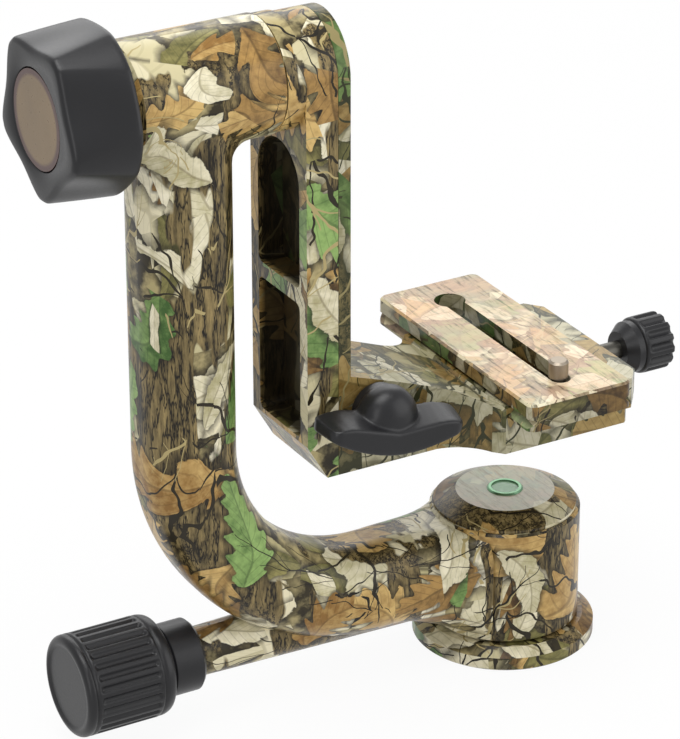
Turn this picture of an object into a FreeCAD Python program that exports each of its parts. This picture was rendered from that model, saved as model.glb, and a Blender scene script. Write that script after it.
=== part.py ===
import FreeCAD, Part
import math
import os
from FreeCAD import Vector

# A gimbal head for a tripod.  Millimetres, +Z up.  The pan axis is the Z axis
# and the head stands on Z = 0.  The tilt axis runs along X, the lens along Y.

# Fits and clearances
RUN_FIT = 0.05              # radial play of a shaft or screw that turns
SLIDE_FIT = 0.15            # play at flat faces that slide on each other
TURN_GAP = 0.4              # free gap between faces that turn past each other
THRUST_PLAY = 0.05          # end play at a thrust washer

# Base flange and spindle
FLANGE_R = 30.0
FLANGE_RIM_H = 4.6
FLANGE_BEVEL_H = 2.4
FLANGE_TOP_R = 26.4
SPINDLE_R = 9.0
SPINDLE_FOOT_R = 13.5
SPINDLE_FOOT_H = 3.0
SPINDLE_TOP_Z = 44.6
PILOT_R = 7.5
THREAD_R = 4.7625           # 3/8 inch tripod thread
THREAD_DEPTH = 14.0
BASE_SCREW_R = 1.5
BASE_SCREW_HEAD_R = 2.9
BASE_SCREW_CIRCLE_R = 10.6
BASE_SCREW_COUNT = 3
WASHER_R_IN = 15.0
WASHER_R_OUT = 22.0
WASHER_T = 1.6

# Hub of the J arm
HUB_R = 24.7
HUB_TOP_Z = 47.0
HUB_BORE_R = 12.5
NUT_WELL_R = 17.0
NUT_WELL_Z = 36.5
LOWER_BUSH_L = 10.0
UPPER_BUSH_L = 8.0
BUSH_FLANGE_T = 1.5
BUSH_FLANGE_R = 16.0
TOP_WASHER_R = 14.5
TOP_WASHER_T = 1.0
NUT_FLATS = 22.0
NUT_H = 4.6

# Hub cap and bubble level
CAP_H = 4.7
CAP_LOW_R = 23.4
CAP_HIGH_R = 16.2
CAP_SPIGOT_T = 2.2
CAP_SPIGOT_H = 1.8
LEVEL_R = 5.9
LEVEL_WALL = 1.4
LEVEL_FLOOR = 1.0
LEVEL_H = 4.6
LEVEL_PROUD = 0.6
LENS_T = 1.2
LENS_LIP = 0.5
BUBBLE_R = 1.5

# J arm: a rounded tube of one section, bent from the hub up to the tilt axis
TILT_Z = 214.4
ARM_X = -117.5
ARM_Z = 32.0
ARM_BEND_R = 65.0
ARM_HALF_IN = 15.4          # half thickness in the plane of the bend
ARM_HALF_Y = 15.0
ARM_CORNER_R = 12.5
BEND_LEAD = 2.5             # straight length between the bend and the flare
FLARE_END_X = -17.0
FLARE_HALF_Y = 21.0
FLARE_HALF_Z = 19.0
FLARE_Z = 27.0
NECK_FILLET_R = 7.0

# Tilt tube at the top of the J arm
TUBE_R = 18.6
TUBE_LEFT_X = -138.0
TUBE_RIGHT_X = -90.0
TUBE_EDGE = 1.2
TUBE_BORE_R = 11.0
BRAKE_WELL_R = 14.0
BRAKE_WELL_X = -121.7
SHAFT_R = 8.0
TILT_BUSH_L = 8.0
SHAFT_NUT_R = 12.5
SHAFT_NUT_T = 4.6
BRAKE_DISC_T = 2.6
BRAKE_LINING_T = 1.0
BRAKE_STROKE_GAP = 0.4
END_CAP_T = 4.0

# Tilt lock knob: five lobes, wider at the rear
TILT_KNOB_LOBES = 5
TILT_KNOB_FRONT_X = -163.4
TILT_KNOB_REAR_X = -141.2
TILT_KNOB_FRONT_R = 25.4
TILT_KNOB_REAR_R = 26.6
TILT_KNOB_FRONT_DIP = 4.4
TILT_KNOB_REAR_DIP = 1.0
TILT_KNOB_EDGE = 1.6
TILT_KNOB_PHASE = 57.6      # degrees from -Y towards +Z
TILT_KNOB_NECK_R = 12.0
TILT_DISC_R = 15.3
TILT_DISC_T = 1.6
TILT_DISC_SUNK = 0.3
TILT_STEM_R = 4.0

# Pan lock: boss, sleeve, fluted knob, rod and brake shoe
PAN_LOCK_Z = 23.0
PAN_BOSS_R = 8.0
PAN_BOSS_ROOT_R = 9.6
PAN_BOSS_X = -116.5
PAN_BOSS_IN_X = -32.0
PAN_SLEEVE_R = 11.8
PAN_SLEEVE_X = -128.0
PAN_KNOB_R = 16.5
PAN_KNOB_REAR_X = -128.4
PAN_KNOB_FRONT_X = -160.0
PAN_KNOB_FLUTES = 28
PAN_KNOB_FLUTE_R = 1.1
PAN_KNOB_FLUTE_DEEP = 0.7
PAN_KNOB_BAND = 3.2
PAN_KNOB_EDGE = 2.0
PAN_KNOB_FACE_STEP = 0.7
PAN_KNOB_FACE_RING = 2.6
PAN_ROD_R = 3.0
PAN_ROD_SEAT = 18.0
PAN_ROD_END_X = -15.0
SHOE_R = 4.5
SHOE_L = 12.0
SHOE_GAP = 0.35             # shoe to spindle when the pan is free

# Swing arm: disc on the tilt shaft and a bar with two pockets
SWING_DISC_R = 18.2
SWING_DISC_T = 6.2
BAR_T = 10.9
BAR_HALF_Y = 17.6
BAR_BOTTOM_Z = 83.0
BAR_CHAMFER_X = 7.0
BAR_CHAMFER_Z = 12.0
POCKET_HALF_Y = 13.0
POCKET_DEEP = 8.6
POCKET_CORNER_R = 2.5
UPPER_POCKET_TOP_Z = 192.3
UPPER_POCKET_LOW_Z = 147.1
LOWER_POCKET_TOP_Z = 142.0
LOWER_POCKET_LOW_Z = 96.5
RAIL_H = 2.2
RAIL_HALF_Y = 8.5
RAIL_UNDERCUT = 1.0
RAIL_LOW_Z = 84.0
RAIL_TOP_Z = 204.0
SHAFT_SEAT = 5.0            # depth of the shaft's end in the swing disc
SHAFT_SCREW_R = 3.0
SHAFT_SCREW_L = 16.0
SHAFT_SCREW_HEAD_R = 5.0
SHAFT_SCREW_HEAD_H = 3.4
SHAFT_SCREW_HEX = 4.0
SHAFT_SCREW_HEX_DEEP = 2.0

# Platform bracket
LEG_T = 4.2
SHELF_T = 4.3
WEB_TOP_H = 28.7            # web's height over the shelf, at the leg and at the clamp
WEB_END_H = 11.0
WEB_CROWN = 0.5
PLAN_FLARE_L = 14.0
PLAN_FLARE_SAG = 2.6
PLAN_FACET_X = 3.0          # slanted corner where the flare meets the clamp
PLAN_FACET_Y = 3.4

# Height lock: wing knob with an eccentric, and the pad it presses
HEIGHT_LOCK_X = -60.0
HEIGHT_LOCK_Z = 104.0
CAM_SHAFT_R = 4.2
CAM_R = 3.6
CAM_THROW = 0.35
CAM_L = 8.0
CAM_SHAFT_L = 9.0
PAD_R = 3.6
PAD_GAP = 0.4
PAD_CAM_GAP = 0.1
CAM_SHAFT_SEAT = 9.0
WING_HUB_R = 8.6
WING_HUB_H = 5.0
WING_T = 12.0
WING_HALF_L = 25.4
WING_DOME_R = 9.8
WING_DOME_RISE = 1.2        # hub's face in front of the wings
WING_DOME_CROWN = 6.0
WING_ROOT_T = 9.6
WING_TIP_T = 6.2
WING_END_R = 2.7
WING_DROP = 5.2             # root of the wings under the axis
WING_RISE = 12.0            # degrees, both wings sweep up from the hub
WING_TILT = 9.0             # degrees, left wing higher
WING_EDGE = 1.4

# Quick release clamp
CLAMP_LEFT_X = -21.0
CLAMP_RIGHT_X = 25.9
CLAMP_HALF_Y = 31.4
CLAMP_CORNER = 1.1
CLAMP_FLOOR_H = 8.0         # floor of the dovetail over the shelf
JAW_LIP_H = 3.6
JAW_EDGE = 1.0
JAW_IN_X = 14.0
JAW_OUT_X = 32.4
JAW_HALF_Y = 32.4
JAW_NOSE_HALF_Y = 25.0
JAW_END_X = 26.4
JAW_EDGE_OUT = 1.5
JAW_LIFT = 1.1              # underside of the moving jaw over the shelf
JAW_LEAD = 0.3
CLAMP_SCREW_H = 4.3
CLAMP_SCREW_R = 3.0
CLAMP_SCREW_TIP_X = -12.0
CLAMP_COLLAR_R = 8.6
CLAMP_COLLAR_NOSE_R = 6.0
CLAMP_COLLAR_X = 42.6
CLAMP_COLLAR_L = 5.6
CLAMP_KNOB_R = 9.5
CLAMP_KNOB_L = 11.2
CLAMP_KNOB_FLUTES = 13
CLAMP_KNOB_FLUTE_R = 1.3
CLAMP_KNOB_FLUTE_DEEP = 0.9
CLAMP_KNOB_EDGE = 1.0
GUIDE_PIN_R = 1.5
GUIDE_PIN_Y = 16.0
GUIDE_PIN_IN = 9.0
GUIDE_PIN_OUT = 8.0
CLAMP_SCREW_SEAT = 8.0
CLAMP_BOLT_LEFT_X = -13.0
CLAMP_BOLT_RIGHT_X = 1.0
CLAMP_BOLT_Y = 11.0
CLAMP_BOLT_R = 1.5
CLAMP_BOLT_HEAD_R = 2.8
CLAMP_BOLT_L = 9.5

# Camera plate and its screw
PLATE_HALF_X = 19.0
PLATE_NEAR_Y = -44.1
PLATE_FAR_Y = 50.9
PLATE_H = 9.2
PLATE_FLOAT = 0.2           # underside over the floor of the clamp
PLATE_FOOT_H = 0.7
PLATE_UNDERCUT = 2.5
PLATE_WAIST_H = 0.8
PLATE_CORNER_R = 3.0
PLATE_EDGE = 0.7
SLOT_HALF_X = 3.4
SLOT_NEAR_Y = -34.5
KEYHOLE_Y = 36.0
KEYHOLE_R = 5.2
CHANNEL_HALF_X = 6.5
CHANNEL_H = 4.2
CAMERA_SCREW_R = 3.175      # 1/4 inch camera thread
CAMERA_SCREW_Y = -30.0
CAMERA_SCREW_PROUD = 6.0
CAMERA_NECK_R = 2.6         # relieved neck, so the screw stays captive in the slot
CAMERA_THREAD_LIFT = 0.3
CAMERA_SCREW_HEAD_R = 6.0
CAMERA_SCREW_HEAD_H = 2.5
CAMERA_SCREW_HEX = 4.0
CAMERA_WASHER_R = 6.2
CAMERA_WASHER_T = 1.0

# Places that follow from the sizes above
FLANGE_TOP_Z = FLANGE_RIM_H + FLANGE_BEVEL_H
HUB_LOW_Z = FLANGE_TOP_Z + TURN_GAP
UPPER_BUSH_TOP_Z = NUT_WELL_Z + BUSH_FLANGE_T
TOP_WASHER_Z = UPPER_BUSH_TOP_Z + THRUST_PLAY
NUT_Z = TOP_WASHER_Z + TOP_WASHER_T
CAP_TOP_Z = HUB_TOP_Z + CAP_H
LEVEL_TOP_Z = CAP_TOP_Z + LEVEL_PROUD
LEVEL_LOW_Z = LEVEL_TOP_Z - LEVEL_H
LENS_Z = LEVEL_TOP_Z - LENS_LIP - LENS_T
SHAFT_NUT_X = BRAKE_WELL_X - TURN_GAP - SHAFT_NUT_T
LINING_X = SHAFT_NUT_X - BRAKE_STROKE_GAP - BRAKE_LINING_T
BRAKE_DISC_X = LINING_X - BRAKE_DISC_T
DISC_LEFT_X = TUBE_RIGHT_X + TURN_GAP
BAR_LEFT_X = DISC_LEFT_X + SWING_DISC_T
BAR_RIGHT_X = BAR_LEFT_X + BAR_T
LEG_LEFT_X = BAR_RIGHT_X + SLIDE_FIT
LEG_RIGHT_X = LEG_LEFT_X + LEG_T
RAIL_X = BAR_RIGHT_X + RAIL_H
SHELF_TOP_Z = BAR_BOTTOM_Z + SHELF_T
WEB_TOP_Z = SHELF_TOP_Z + WEB_TOP_H
WEB_END_Z = SHELF_TOP_Z + WEB_END_H
CLAMP_FLOOR_Z = SHELF_TOP_Z + CLAMP_FLOOR_H
CLAMP_SCREW_Z = SHELF_TOP_Z + CLAMP_SCREW_H
JAW_TOP_Z = CLAMP_FLOOR_Z + JAW_LIP_H
JAW_LOW_Z = SHELF_TOP_Z + JAW_LIFT
PLATE_LOW_Z = CLAMP_FLOOR_Z + PLATE_FLOAT
PLATE_TOP_Z = PLATE_LOW_Z + PLATE_H
FLARE_START_X = ARM_X + ARM_BEND_R + BEND_LEAD
SPINDLE_SIDE_X = -SPINDLE_R
SHOE_FACE_X = SPINDLE_SIDE_X - SHOE_GAP

X_AXIS = Vector(1, 0, 0)
Y_AXIS = Vector(0, 1, 0)
Z_AXIS = Vector(0, 0, 1)


def rod_x(radius, x0, x1, y=0.0, z=0.0):
    return Part.makeCylinder(radius, x1 - x0, Vector(x0, y, z), X_AXIS)


def rod_y(radius, y0, y1, x=0.0, z=0.0):
    return Part.makeCylinder(radius, y1 - y0, Vector(x, y0, z), Y_AXIS)


def rod_z(radius, z0, z1, x=0.0, y=0.0):
    return Part.makeCylinder(radius, z1 - z0, Vector(x, y, z0), Z_AXIS)


def block(x0, x1, y0, y1, z0, z1):
    return Part.makeBox(x1 - x0, y1 - y0, z1 - z0, Vector(x0, y0, z0))


def prism(points, length_vector):
    outline = Part.makePolygon(points + [points[0]])
    return Part.Face(outline).extrude(length_vector)


def prism_y(points_xz, y0, y1):
    points = [Vector(x, y0, z) for x, z in points_xz]
    return prism(points, Vector(0, y1 - y0, 0))


def turned_z(points_rz):
    points = [Vector(r, 0, z) for r, z in points_rz]
    outline = Part.makePolygon(points + [points[0]])
    return Part.Face(outline).revolve(Vector(0, 0, 0), Z_AXIS, 360)


def turned_x(points_xr, z):
    points = [Vector(x, 0, z + r) for x, r in points_xr]
    outline = Part.makePolygon(points + [points[0]])
    return Part.Face(outline).revolve(Vector(0, 0, z), X_AXIS, 360)


def hexagon_z(flats, z0, z1):
    radius = flats / math.sqrt(3)
    points = []
    for k in range(6):
        angle = math.radians(60 * k + 30)
        points.append(Vector(radius * math.cos(angle), radius * math.sin(angle), z0))
    return prism(points, Vector(0, 0, z1 - z0))


def rounded_outline(half_y, half_z, corner, x, z):
    outline = []
    for side_y, side_z, start in ((1, 1, 0), (-1, 1, 90), (-1, -1, 180), (1, -1, 270)):
        centre = Vector(x, side_y * (half_y - corner), z + side_z * (half_z - corner))
        ends = []
        for step in (0, 45, 90):
            angle = math.radians(start + step)
            ends.append(centre + Vector(0, corner * math.cos(angle), corner * math.sin(angle)))
        outline.append(Part.Arc(*ends).toShape())
    edges = []
    for k, arc in enumerate(outline):
        edges.append(arc)
        here = arc.Vertexes[-1].Point
        there = outline[(k + 1) % 4].Vertexes[0].Point
        edges.append(Part.makeLine(here, there))
    return Part.Wire(edges)


def spread_x(tool, count, z):
    copies = []
    for k in range(count):
        copy = tool.copy()
        copy.rotate(Vector(0, 0, z), X_AXIS, 360.0 * k / count)
        copies.append(copy)
    return copies


# ---- base -------------------------------------------------------------

def base_screw_places():
    places = []
    for k in range(BASE_SCREW_COUNT):
        angle = math.radians(90 + 360.0 * k / BASE_SCREW_COUNT)
        places.append((BASE_SCREW_CIRCLE_R * math.cos(angle), BASE_SCREW_CIRCLE_R * math.sin(angle)))
    return places


def countersunk_screw(radius, head_r, length, x, y, z):
    head_h = head_r - radius
    head = Part.makeCone(head_r, radius, head_h, Vector(x, y, z), Z_AXIS)
    return head.fuse(rod_z(radius, z + head_h, z + length, x, y))


def base_screws():
    depth = FLANGE_TOP_Z - 1.5
    return [countersunk_screw(BASE_SCREW_R, BASE_SCREW_HEAD_R, depth, x, y, 0.3) for x, y in base_screw_places()]


def base_screw_holes():
    depth = FLANGE_TOP_Z - 1.5
    holes = [countersunk_screw(BASE_SCREW_R, BASE_SCREW_HEAD_R, depth, x, y, 0.3) for x, y in base_screw_places()]
    mouths = [rod_z(BASE_SCREW_HEAD_R, -1, 0.3, x, y) for x, y in base_screw_places()]
    return holes + mouths


def base_flange():
    foot_z = FLANGE_TOP_Z - SPINDLE_FOOT_H
    disc = turned_z([(PILOT_R, 0), (FLANGE_R - 0.5, 0), (FLANGE_R, 0.5), (FLANGE_R, FLANGE_RIM_H),
                     (FLANGE_TOP_R, FLANGE_TOP_Z), (SPINDLE_FOOT_R, FLANGE_TOP_Z),
                     (SPINDLE_FOOT_R, foot_z), (PILOT_R, foot_z)])
    washer_seat = rod_z(WASHER_R_OUT, HUB_LOW_Z - THRUST_PLAY - WASHER_T, FLANGE_TOP_Z + 1)
    washer_seat = washer_seat.cut(rod_z(WASHER_R_IN, 0, FLANGE_TOP_Z + 1))
    return disc.cut([washer_seat] + base_screw_holes())


def pan_spindle():
    foot_z = FLANGE_TOP_Z - SPINDLE_FOOT_H
    edge = 0.8
    body = turned_z([(0, 0), (PILOT_R, 0), (PILOT_R, foot_z), (SPINDLE_FOOT_R, foot_z),
                     (SPINDLE_FOOT_R, FLANGE_TOP_Z), (SPINDLE_R, FLANGE_TOP_Z),
                     (SPINDLE_R, SPINDLE_TOP_Z - edge), (SPINDLE_R - edge, SPINDLE_TOP_Z), (0, SPINDLE_TOP_Z)])
    thread = rod_z(THREAD_R, -1, THREAD_DEPTH)
    return body.cut([thread] + base_screw_holes())


def thrust_washer():
    top = HUB_LOW_Z - THRUST_PLAY
    return rod_z(WASHER_R_OUT, top - WASHER_T, top).cut(rod_z(WASHER_R_IN, top - WASHER_T, top))


def top_thrust_washer():
    ring = rod_z(TOP_WASHER_R, TOP_WASHER_Z, NUT_Z)
    return ring.cut(rod_z(SPINDLE_R, TOP_WASHER_Z, NUT_Z))


def spindle_nut():
    return hexagon_z(NUT_FLATS, NUT_Z, NUT_Z + NUT_H).cut(rod_z(SPINDLE_R, NUT_Z, NUT_Z + NUT_H))


# ---- J arm --------------------------------------------------------------

def lower_pan_bush():
    low = HUB_LOW_Z + 0.6
    ring = rod_z(HUB_BORE_R, low, low + LOWER_BUSH_L)
    return ring.cut(rod_z(SPINDLE_R + RUN_FIT, low, low + LOWER_BUSH_L))


def upper_pan_bush():
    low = NUT_WELL_Z - UPPER_BUSH_L
    ring = rod_z(HUB_BORE_R, low, NUT_WELL_Z).fuse(rod_z(BUSH_FLANGE_R, NUT_WELL_Z, UPPER_BUSH_TOP_Z))
    return ring.cut(rod_z(SPINDLE_R + RUN_FIT, low, UPPER_BUSH_TOP_Z))


def arm_tube():
    bend_x = ARM_X + ARM_BEND_R
    bend_z = ARM_Z + ARM_BEND_R
    low_end = Vector(bend_x, 0, ARM_Z)
    high_end = Vector(ARM_X, 0, bend_z)
    half = math.sqrt(0.5) * ARM_BEND_R
    middle = Vector(bend_x - half, 0, bend_z - half)
    path = Part.Wire([Part.makeLine(Vector(FLARE_START_X, 0, ARM_Z), low_end),
                      Part.Arc(low_end, middle, high_end).toShape(),
                      Part.makeLine(high_end, Vector(ARM_X, 0, TILT_Z))])
    section = rounded_outline(ARM_HALF_Y, ARM_HALF_IN, ARM_CORNER_R, FLARE_START_X, ARM_Z)
    return path.makePipeShell([section], True, True)


def arm_flare():
    length = FLARE_END_X - FLARE_START_X
    middle_y = ARM_HALF_Y + 0.22 * (FLARE_HALF_Y - ARM_HALF_Y)
    middle_z = ARM_HALF_IN + 0.3 * (FLARE_HALF_Z - ARM_HALF_IN)
    centre_z = ARM_Z + 0.3 * (FLARE_Z - ARM_Z)
    sections = [rounded_outline(ARM_HALF_Y, ARM_HALF_IN, ARM_CORNER_R, FLARE_START_X, ARM_Z),
                rounded_outline(ARM_HALF_Y + 0.2, ARM_HALF_IN + 0.1, ARM_CORNER_R, FLARE_START_X + 0.18 * length, ARM_Z),
                rounded_outline(middle_y, middle_z, ARM_CORNER_R, FLARE_START_X + 0.48 * length, centre_z),
                rounded_outline(FLARE_HALF_Y, FLARE_HALF_Z, 0.68 * ARM_CORNER_R, FLARE_END_X, FLARE_Z)]
    return Part.makeLoft(sections, True, False)


def tilt_tube():
    return turned_x([(TUBE_LEFT_X, 0), (TUBE_LEFT_X, TUBE_R - TUBE_EDGE), (TUBE_LEFT_X + TUBE_EDGE, TUBE_R),
                     (TUBE_RIGHT_X - 0.3, TUBE_R), (TUBE_RIGHT_X, TUBE_R - 0.3), (TUBE_RIGHT_X, 0)], TILT_Z)


def filleted_neck(arm):
    edges = []
    for edge in arm.Edges:
        box = edge.BoundBox
        crosses = box.ZMin > TILT_Z - TUBE_R - 1 and box.ZMax < TILT_Z - 1 and box.XMin > TUBE_LEFT_X + 2
        if crosses and box.XMax < TUBE_RIGHT_X - 2 and box.YLength > 1.0:
            edges.append(edge)
    return arm.makeFillet(NECK_FILLET_R, edges)


def arm_bores():
    bore_z = PAN_LOCK_Z
    return [rod_z(HUB_BORE_R, HUB_LOW_Z - 1, HUB_TOP_Z + 1),
            rod_z(NUT_WELL_R, NUT_WELL_Z, HUB_TOP_Z + 1),
            rod_x(TUBE_BORE_R, BRAKE_WELL_X - 1, TUBE_RIGHT_X + 1, 0, TILT_Z),
            rod_x(BRAKE_WELL_R, TUBE_LEFT_X - 1, BRAKE_WELL_X, 0, TILT_Z),
            rod_x(PAN_ROD_R + RUN_FIT, PAN_SLEEVE_X - 1, 0, 0, bore_z),
            rod_x(SHOE_R + RUN_FIT, SHOE_FACE_X - SHOE_L - 2, 0, 0, bore_z)]


def j_arm():
    edge = 0.8
    hub = turned_z([(0, HUB_LOW_Z), (HUB_R - edge, HUB_LOW_Z), (HUB_R, HUB_LOW_Z + edge),
                    (HUB_R, HUB_TOP_Z - edge), (HUB_R - edge, HUB_TOP_Z), (0, HUB_TOP_Z)])
    arm = arm_tube().fuse(tilt_tube()).removeSplitter()
    arm = filleted_neck(arm)
    boss = Part.makeCone(PAN_BOSS_R, PAN_BOSS_ROOT_R, PAN_BOSS_IN_X - PAN_BOSS_X,
                         Vector(PAN_BOSS_X, 0, PAN_LOCK_Z), X_AXIS)
    solid = arm.fuse([hub, arm_flare(), boss]).removeSplitter()
    return solid.cut(arm_bores())


def hub_cap():
    cone = turned_z([(0, HUB_TOP_Z), (CAP_LOW_R, HUB_TOP_Z), (CAP_LOW_R, HUB_TOP_Z + 1.0),
                     (CAP_HIGH_R + 0.8, CAP_TOP_Z - 0.4), (CAP_HIGH_R, CAP_TOP_Z), (0, CAP_TOP_Z)])
    spigot = rod_z(NUT_WELL_R, HUB_TOP_Z - CAP_SPIGOT_H, HUB_TOP_Z)
    spigot = spigot.cut(rod_z(NUT_WELL_R - CAP_SPIGOT_T, HUB_TOP_Z - CAP_SPIGOT_H, HUB_TOP_Z))
    cap = cone.fuse(spigot).removeSplitter()
    return cap.cut(rod_z(LEVEL_R, LEVEL_LOW_Z, CAP_TOP_Z + 1))


def level_housing():
    edge = 0.5
    cup = turned_z([(0, LEVEL_LOW_Z), (LEVEL_R, LEVEL_LOW_Z), (LEVEL_R, LEVEL_TOP_Z - edge),
                    (LEVEL_R - edge, LEVEL_TOP_Z), (0, LEVEL_TOP_Z)])
    return cup.cut(rod_z(LEVEL_R - LEVEL_WALL, LEVEL_LOW_Z + LEVEL_FLOOR, LEVEL_TOP_Z + 1))


def level_bubble():
    ball = Part.makeSphere(BUBBLE_R, Vector(0, 0, LENS_Z))
    return ball.common(rod_z(BUBBLE_R + 1, LENS_Z - BUBBLE_R, LENS_Z))


def level_fluid():
    fluid = rod_z(LEVEL_R - LEVEL_WALL, LEVEL_LOW_Z + LEVEL_FLOOR, LENS_Z)
    return fluid.cut(level_bubble())


def level_lens():
    return rod_z(LEVEL_R - LEVEL_WALL, LENS_Z, LENS_Z + LENS_T)


def pan_lock_sleeve():
    edge = 1.0
    ring = turned_x([(PAN_SLEEVE_X, PAN_ROD_R + RUN_FIT), (PAN_SLEEVE_X, PAN_SLEEVE_R - edge),
                     (PAN_SLEEVE_X + edge, PAN_SLEEVE_R), (PAN_BOSS_X - edge, PAN_SLEEVE_R),
                     (PAN_BOSS_X, PAN_SLEEVE_R - edge), (PAN_BOSS_X, PAN_ROD_R + RUN_FIT)], PAN_LOCK_Z)
    return ring


def left_tilt_bush():
    x1 = BRAKE_WELL_X + TILT_BUSH_L
    ring = rod_x(TUBE_BORE_R, BRAKE_WELL_X, x1, 0, TILT_Z)
    return ring.cut(rod_x(SHAFT_R + RUN_FIT, BRAKE_WELL_X, x1, 0, TILT_Z))


def right_tilt_bush():
    x0 = TUBE_RIGHT_X - 0.3 - TILT_BUSH_L
    x1 = TUBE_RIGHT_X - 0.3
    return rod_x(TUBE_BORE_R, x0, x1, 0, TILT_Z).cut(rod_x(SHAFT_R + RUN_FIT, x0, x1, 0, TILT_Z))


def tilt_end_cap():
    ring = rod_x(BRAKE_WELL_R, TUBE_LEFT_X, TUBE_LEFT_X + END_CAP_T, 0, TILT_Z)
    return ring.cut(rod_x(TILT_STEM_R + RUN_FIT, TUBE_LEFT_X, TUBE_LEFT_X + END_CAP_T, 0, TILT_Z))


# ---- tilt lock ----------------------------------------------------------

def lobed_outline(x, radius, dip):
    points = []
    count = TILT_KNOB_LOBES * 8
    for k in range(count):
        turn = 2 * math.pi * k / count
        wave = 0.5 - 0.5 * math.cos(TILT_KNOB_LOBES * turn)
        r = radius - dip * wave ** 0.8
        angle = turn + math.radians(TILT_KNOB_PHASE)
        points.append(Vector(x, -r * math.cos(angle), TILT_Z + r * math.sin(angle)))
    curve = Part.BSplineCurve()
    curve.interpolate(points, PeriodicFlag=True)
    return Part.Wire(curve.toShape())


def tilt_knob_grip():
    shoulder_x = TILT_KNOB_FRONT_X + TILT_KNOB_EDGE
    body = Part.makeLoft([lobed_outline(shoulder_x, TILT_KNOB_FRONT_R, TILT_KNOB_FRONT_DIP),
                          lobed_outline(TILT_KNOB_REAR_X, TILT_KNOB_REAR_R, TILT_KNOB_REAR_DIP)], True, True)
    face = Part.makeLoft([lobed_outline(TILT_KNOB_FRONT_X, TILT_KNOB_FRONT_R - TILT_KNOB_EDGE, TILT_KNOB_FRONT_DIP),
                          lobed_outline(shoulder_x, TILT_KNOB_FRONT_R, TILT_KNOB_FRONT_DIP)], True, True)
    neck = rod_x(TILT_KNOB_NECK_R, TILT_KNOB_REAR_X, TUBE_LEFT_X - TURN_GAP, 0, TILT_Z)
    grip = body.fuse([face, neck])
    seat = rod_x(TILT_DISC_R, TILT_KNOB_FRONT_X - 1, TILT_KNOB_FRONT_X + TILT_DISC_T + TILT_DISC_SUNK, 0, TILT_Z)
    stem = rod_x(TILT_STEM_R, tilt_stem_start_x(), TUBE_LEFT_X, 0, TILT_Z)
    return grip.cut([seat, stem])


def tilt_stem_start_x():
    return TILT_KNOB_FRONT_X + TILT_DISC_T + TILT_DISC_SUNK + 2.0


def tilt_knob_disc():
    x0 = TILT_KNOB_FRONT_X + TILT_DISC_SUNK
    return rod_x(TILT_DISC_R, x0, x0 + TILT_DISC_T, 0, TILT_Z)


def tilt_knob_screw():
    return rod_x(TILT_STEM_R, tilt_stem_start_x(), BRAKE_DISC_X + BRAKE_DISC_T - 0.6, 0, TILT_Z)


def tilt_brake_disc():
    disc = rod_x(BRAKE_WELL_R - SLIDE_FIT, BRAKE_DISC_X, LINING_X, 0, TILT_Z)
    return disc.cut(rod_x(TILT_STEM_R + RUN_FIT, BRAKE_DISC_X, LINING_X, 0, TILT_Z))


def tilt_brake_lining():
    ring = rod_x(SHAFT_NUT_R, LINING_X, LINING_X + BRAKE_LINING_T, 0, TILT_Z)
    return ring.cut(rod_x(SHAFT_R + 1.0, LINING_X, LINING_X + BRAKE_LINING_T, 0, TILT_Z))


# ---- pan lock -----------------------------------------------------------

def flutes_x(radius, flute_r, deep, count, x0, x1, z):
    flute = rod_x(flute_r, x0, x1, 0, z + radius - deep + flute_r)
    return spread_x(flute, count, z)


def pan_knob_grip():
    edge = PAN_KNOB_EDGE
    ring = PAN_KNOB_R - PAN_KNOB_FACE_RING
    body = turned_x([(PAN_KNOB_FRONT_X + PAN_KNOB_FACE_STEP, 0), (PAN_KNOB_FRONT_X + PAN_KNOB_FACE_STEP, ring - 0.8),
                     (PAN_KNOB_FRONT_X, ring), (PAN_KNOB_FRONT_X + 0.3, PAN_KNOB_R - edge),
                     (PAN_KNOB_FRONT_X + edge, PAN_KNOB_R), (PAN_KNOB_REAR_X - edge, PAN_KNOB_R - 0.4),
                     (PAN_KNOB_REAR_X, PAN_KNOB_R - 0.4 - edge), (PAN_KNOB_REAR_X, 0)], PAN_LOCK_Z)
    cuts = flutes_x(PAN_KNOB_R, PAN_KNOB_FLUTE_R, PAN_KNOB_FLUTE_DEEP, PAN_KNOB_FLUTES,
                    PAN_KNOB_FRONT_X + PAN_KNOB_BAND, PAN_KNOB_REAR_X - PAN_KNOB_BAND, PAN_LOCK_Z)
    hole = rod_x(PAN_ROD_R, PAN_KNOB_REAR_X - PAN_ROD_SEAT, PAN_KNOB_REAR_X, 0, PAN_LOCK_Z)
    return body.cut(cuts + [hole])


def pan_lock_rod():
    return rod_x(PAN_ROD_R, PAN_KNOB_REAR_X - PAN_ROD_SEAT, PAN_ROD_END_X, 0, PAN_LOCK_Z)


def pan_brake_shoe():
    plug = rod_x(SHOE_R, SHOE_FACE_X - SHOE_L, 0, 0, PAN_LOCK_Z)
    nose = rod_z(SPINDLE_R + SHOE_GAP, PAN_LOCK_Z - 2 * SHOE_R, PAN_LOCK_Z + 2 * SHOE_R)
    socket = rod_x(PAN_ROD_R + RUN_FIT, SHOE_FACE_X - SHOE_L, PAN_ROD_END_X + 1.5, 0, PAN_LOCK_Z)
    return plug.cut([nose, socket])


# ---- swing arm ------------------------------------------------------------

def bar_outline(x, length):
    side = BAR_HALF_Y
    corners = [Vector(x, -side, TILT_Z), Vector(x, -side, BAR_BOTTOM_Z), Vector(x, side, BAR_BOTTOM_Z),
               Vector(x, side, TILT_Z)]
    straight = Part.makePolygon(corners)
    top = Part.Arc(corners[3], Vector(x, 0, TILT_Z + side), corners[0]).toShape()
    return Part.Face(Part.Wire(straight.Edges + [top])).extrude(Vector(length, 0, 0))


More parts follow.
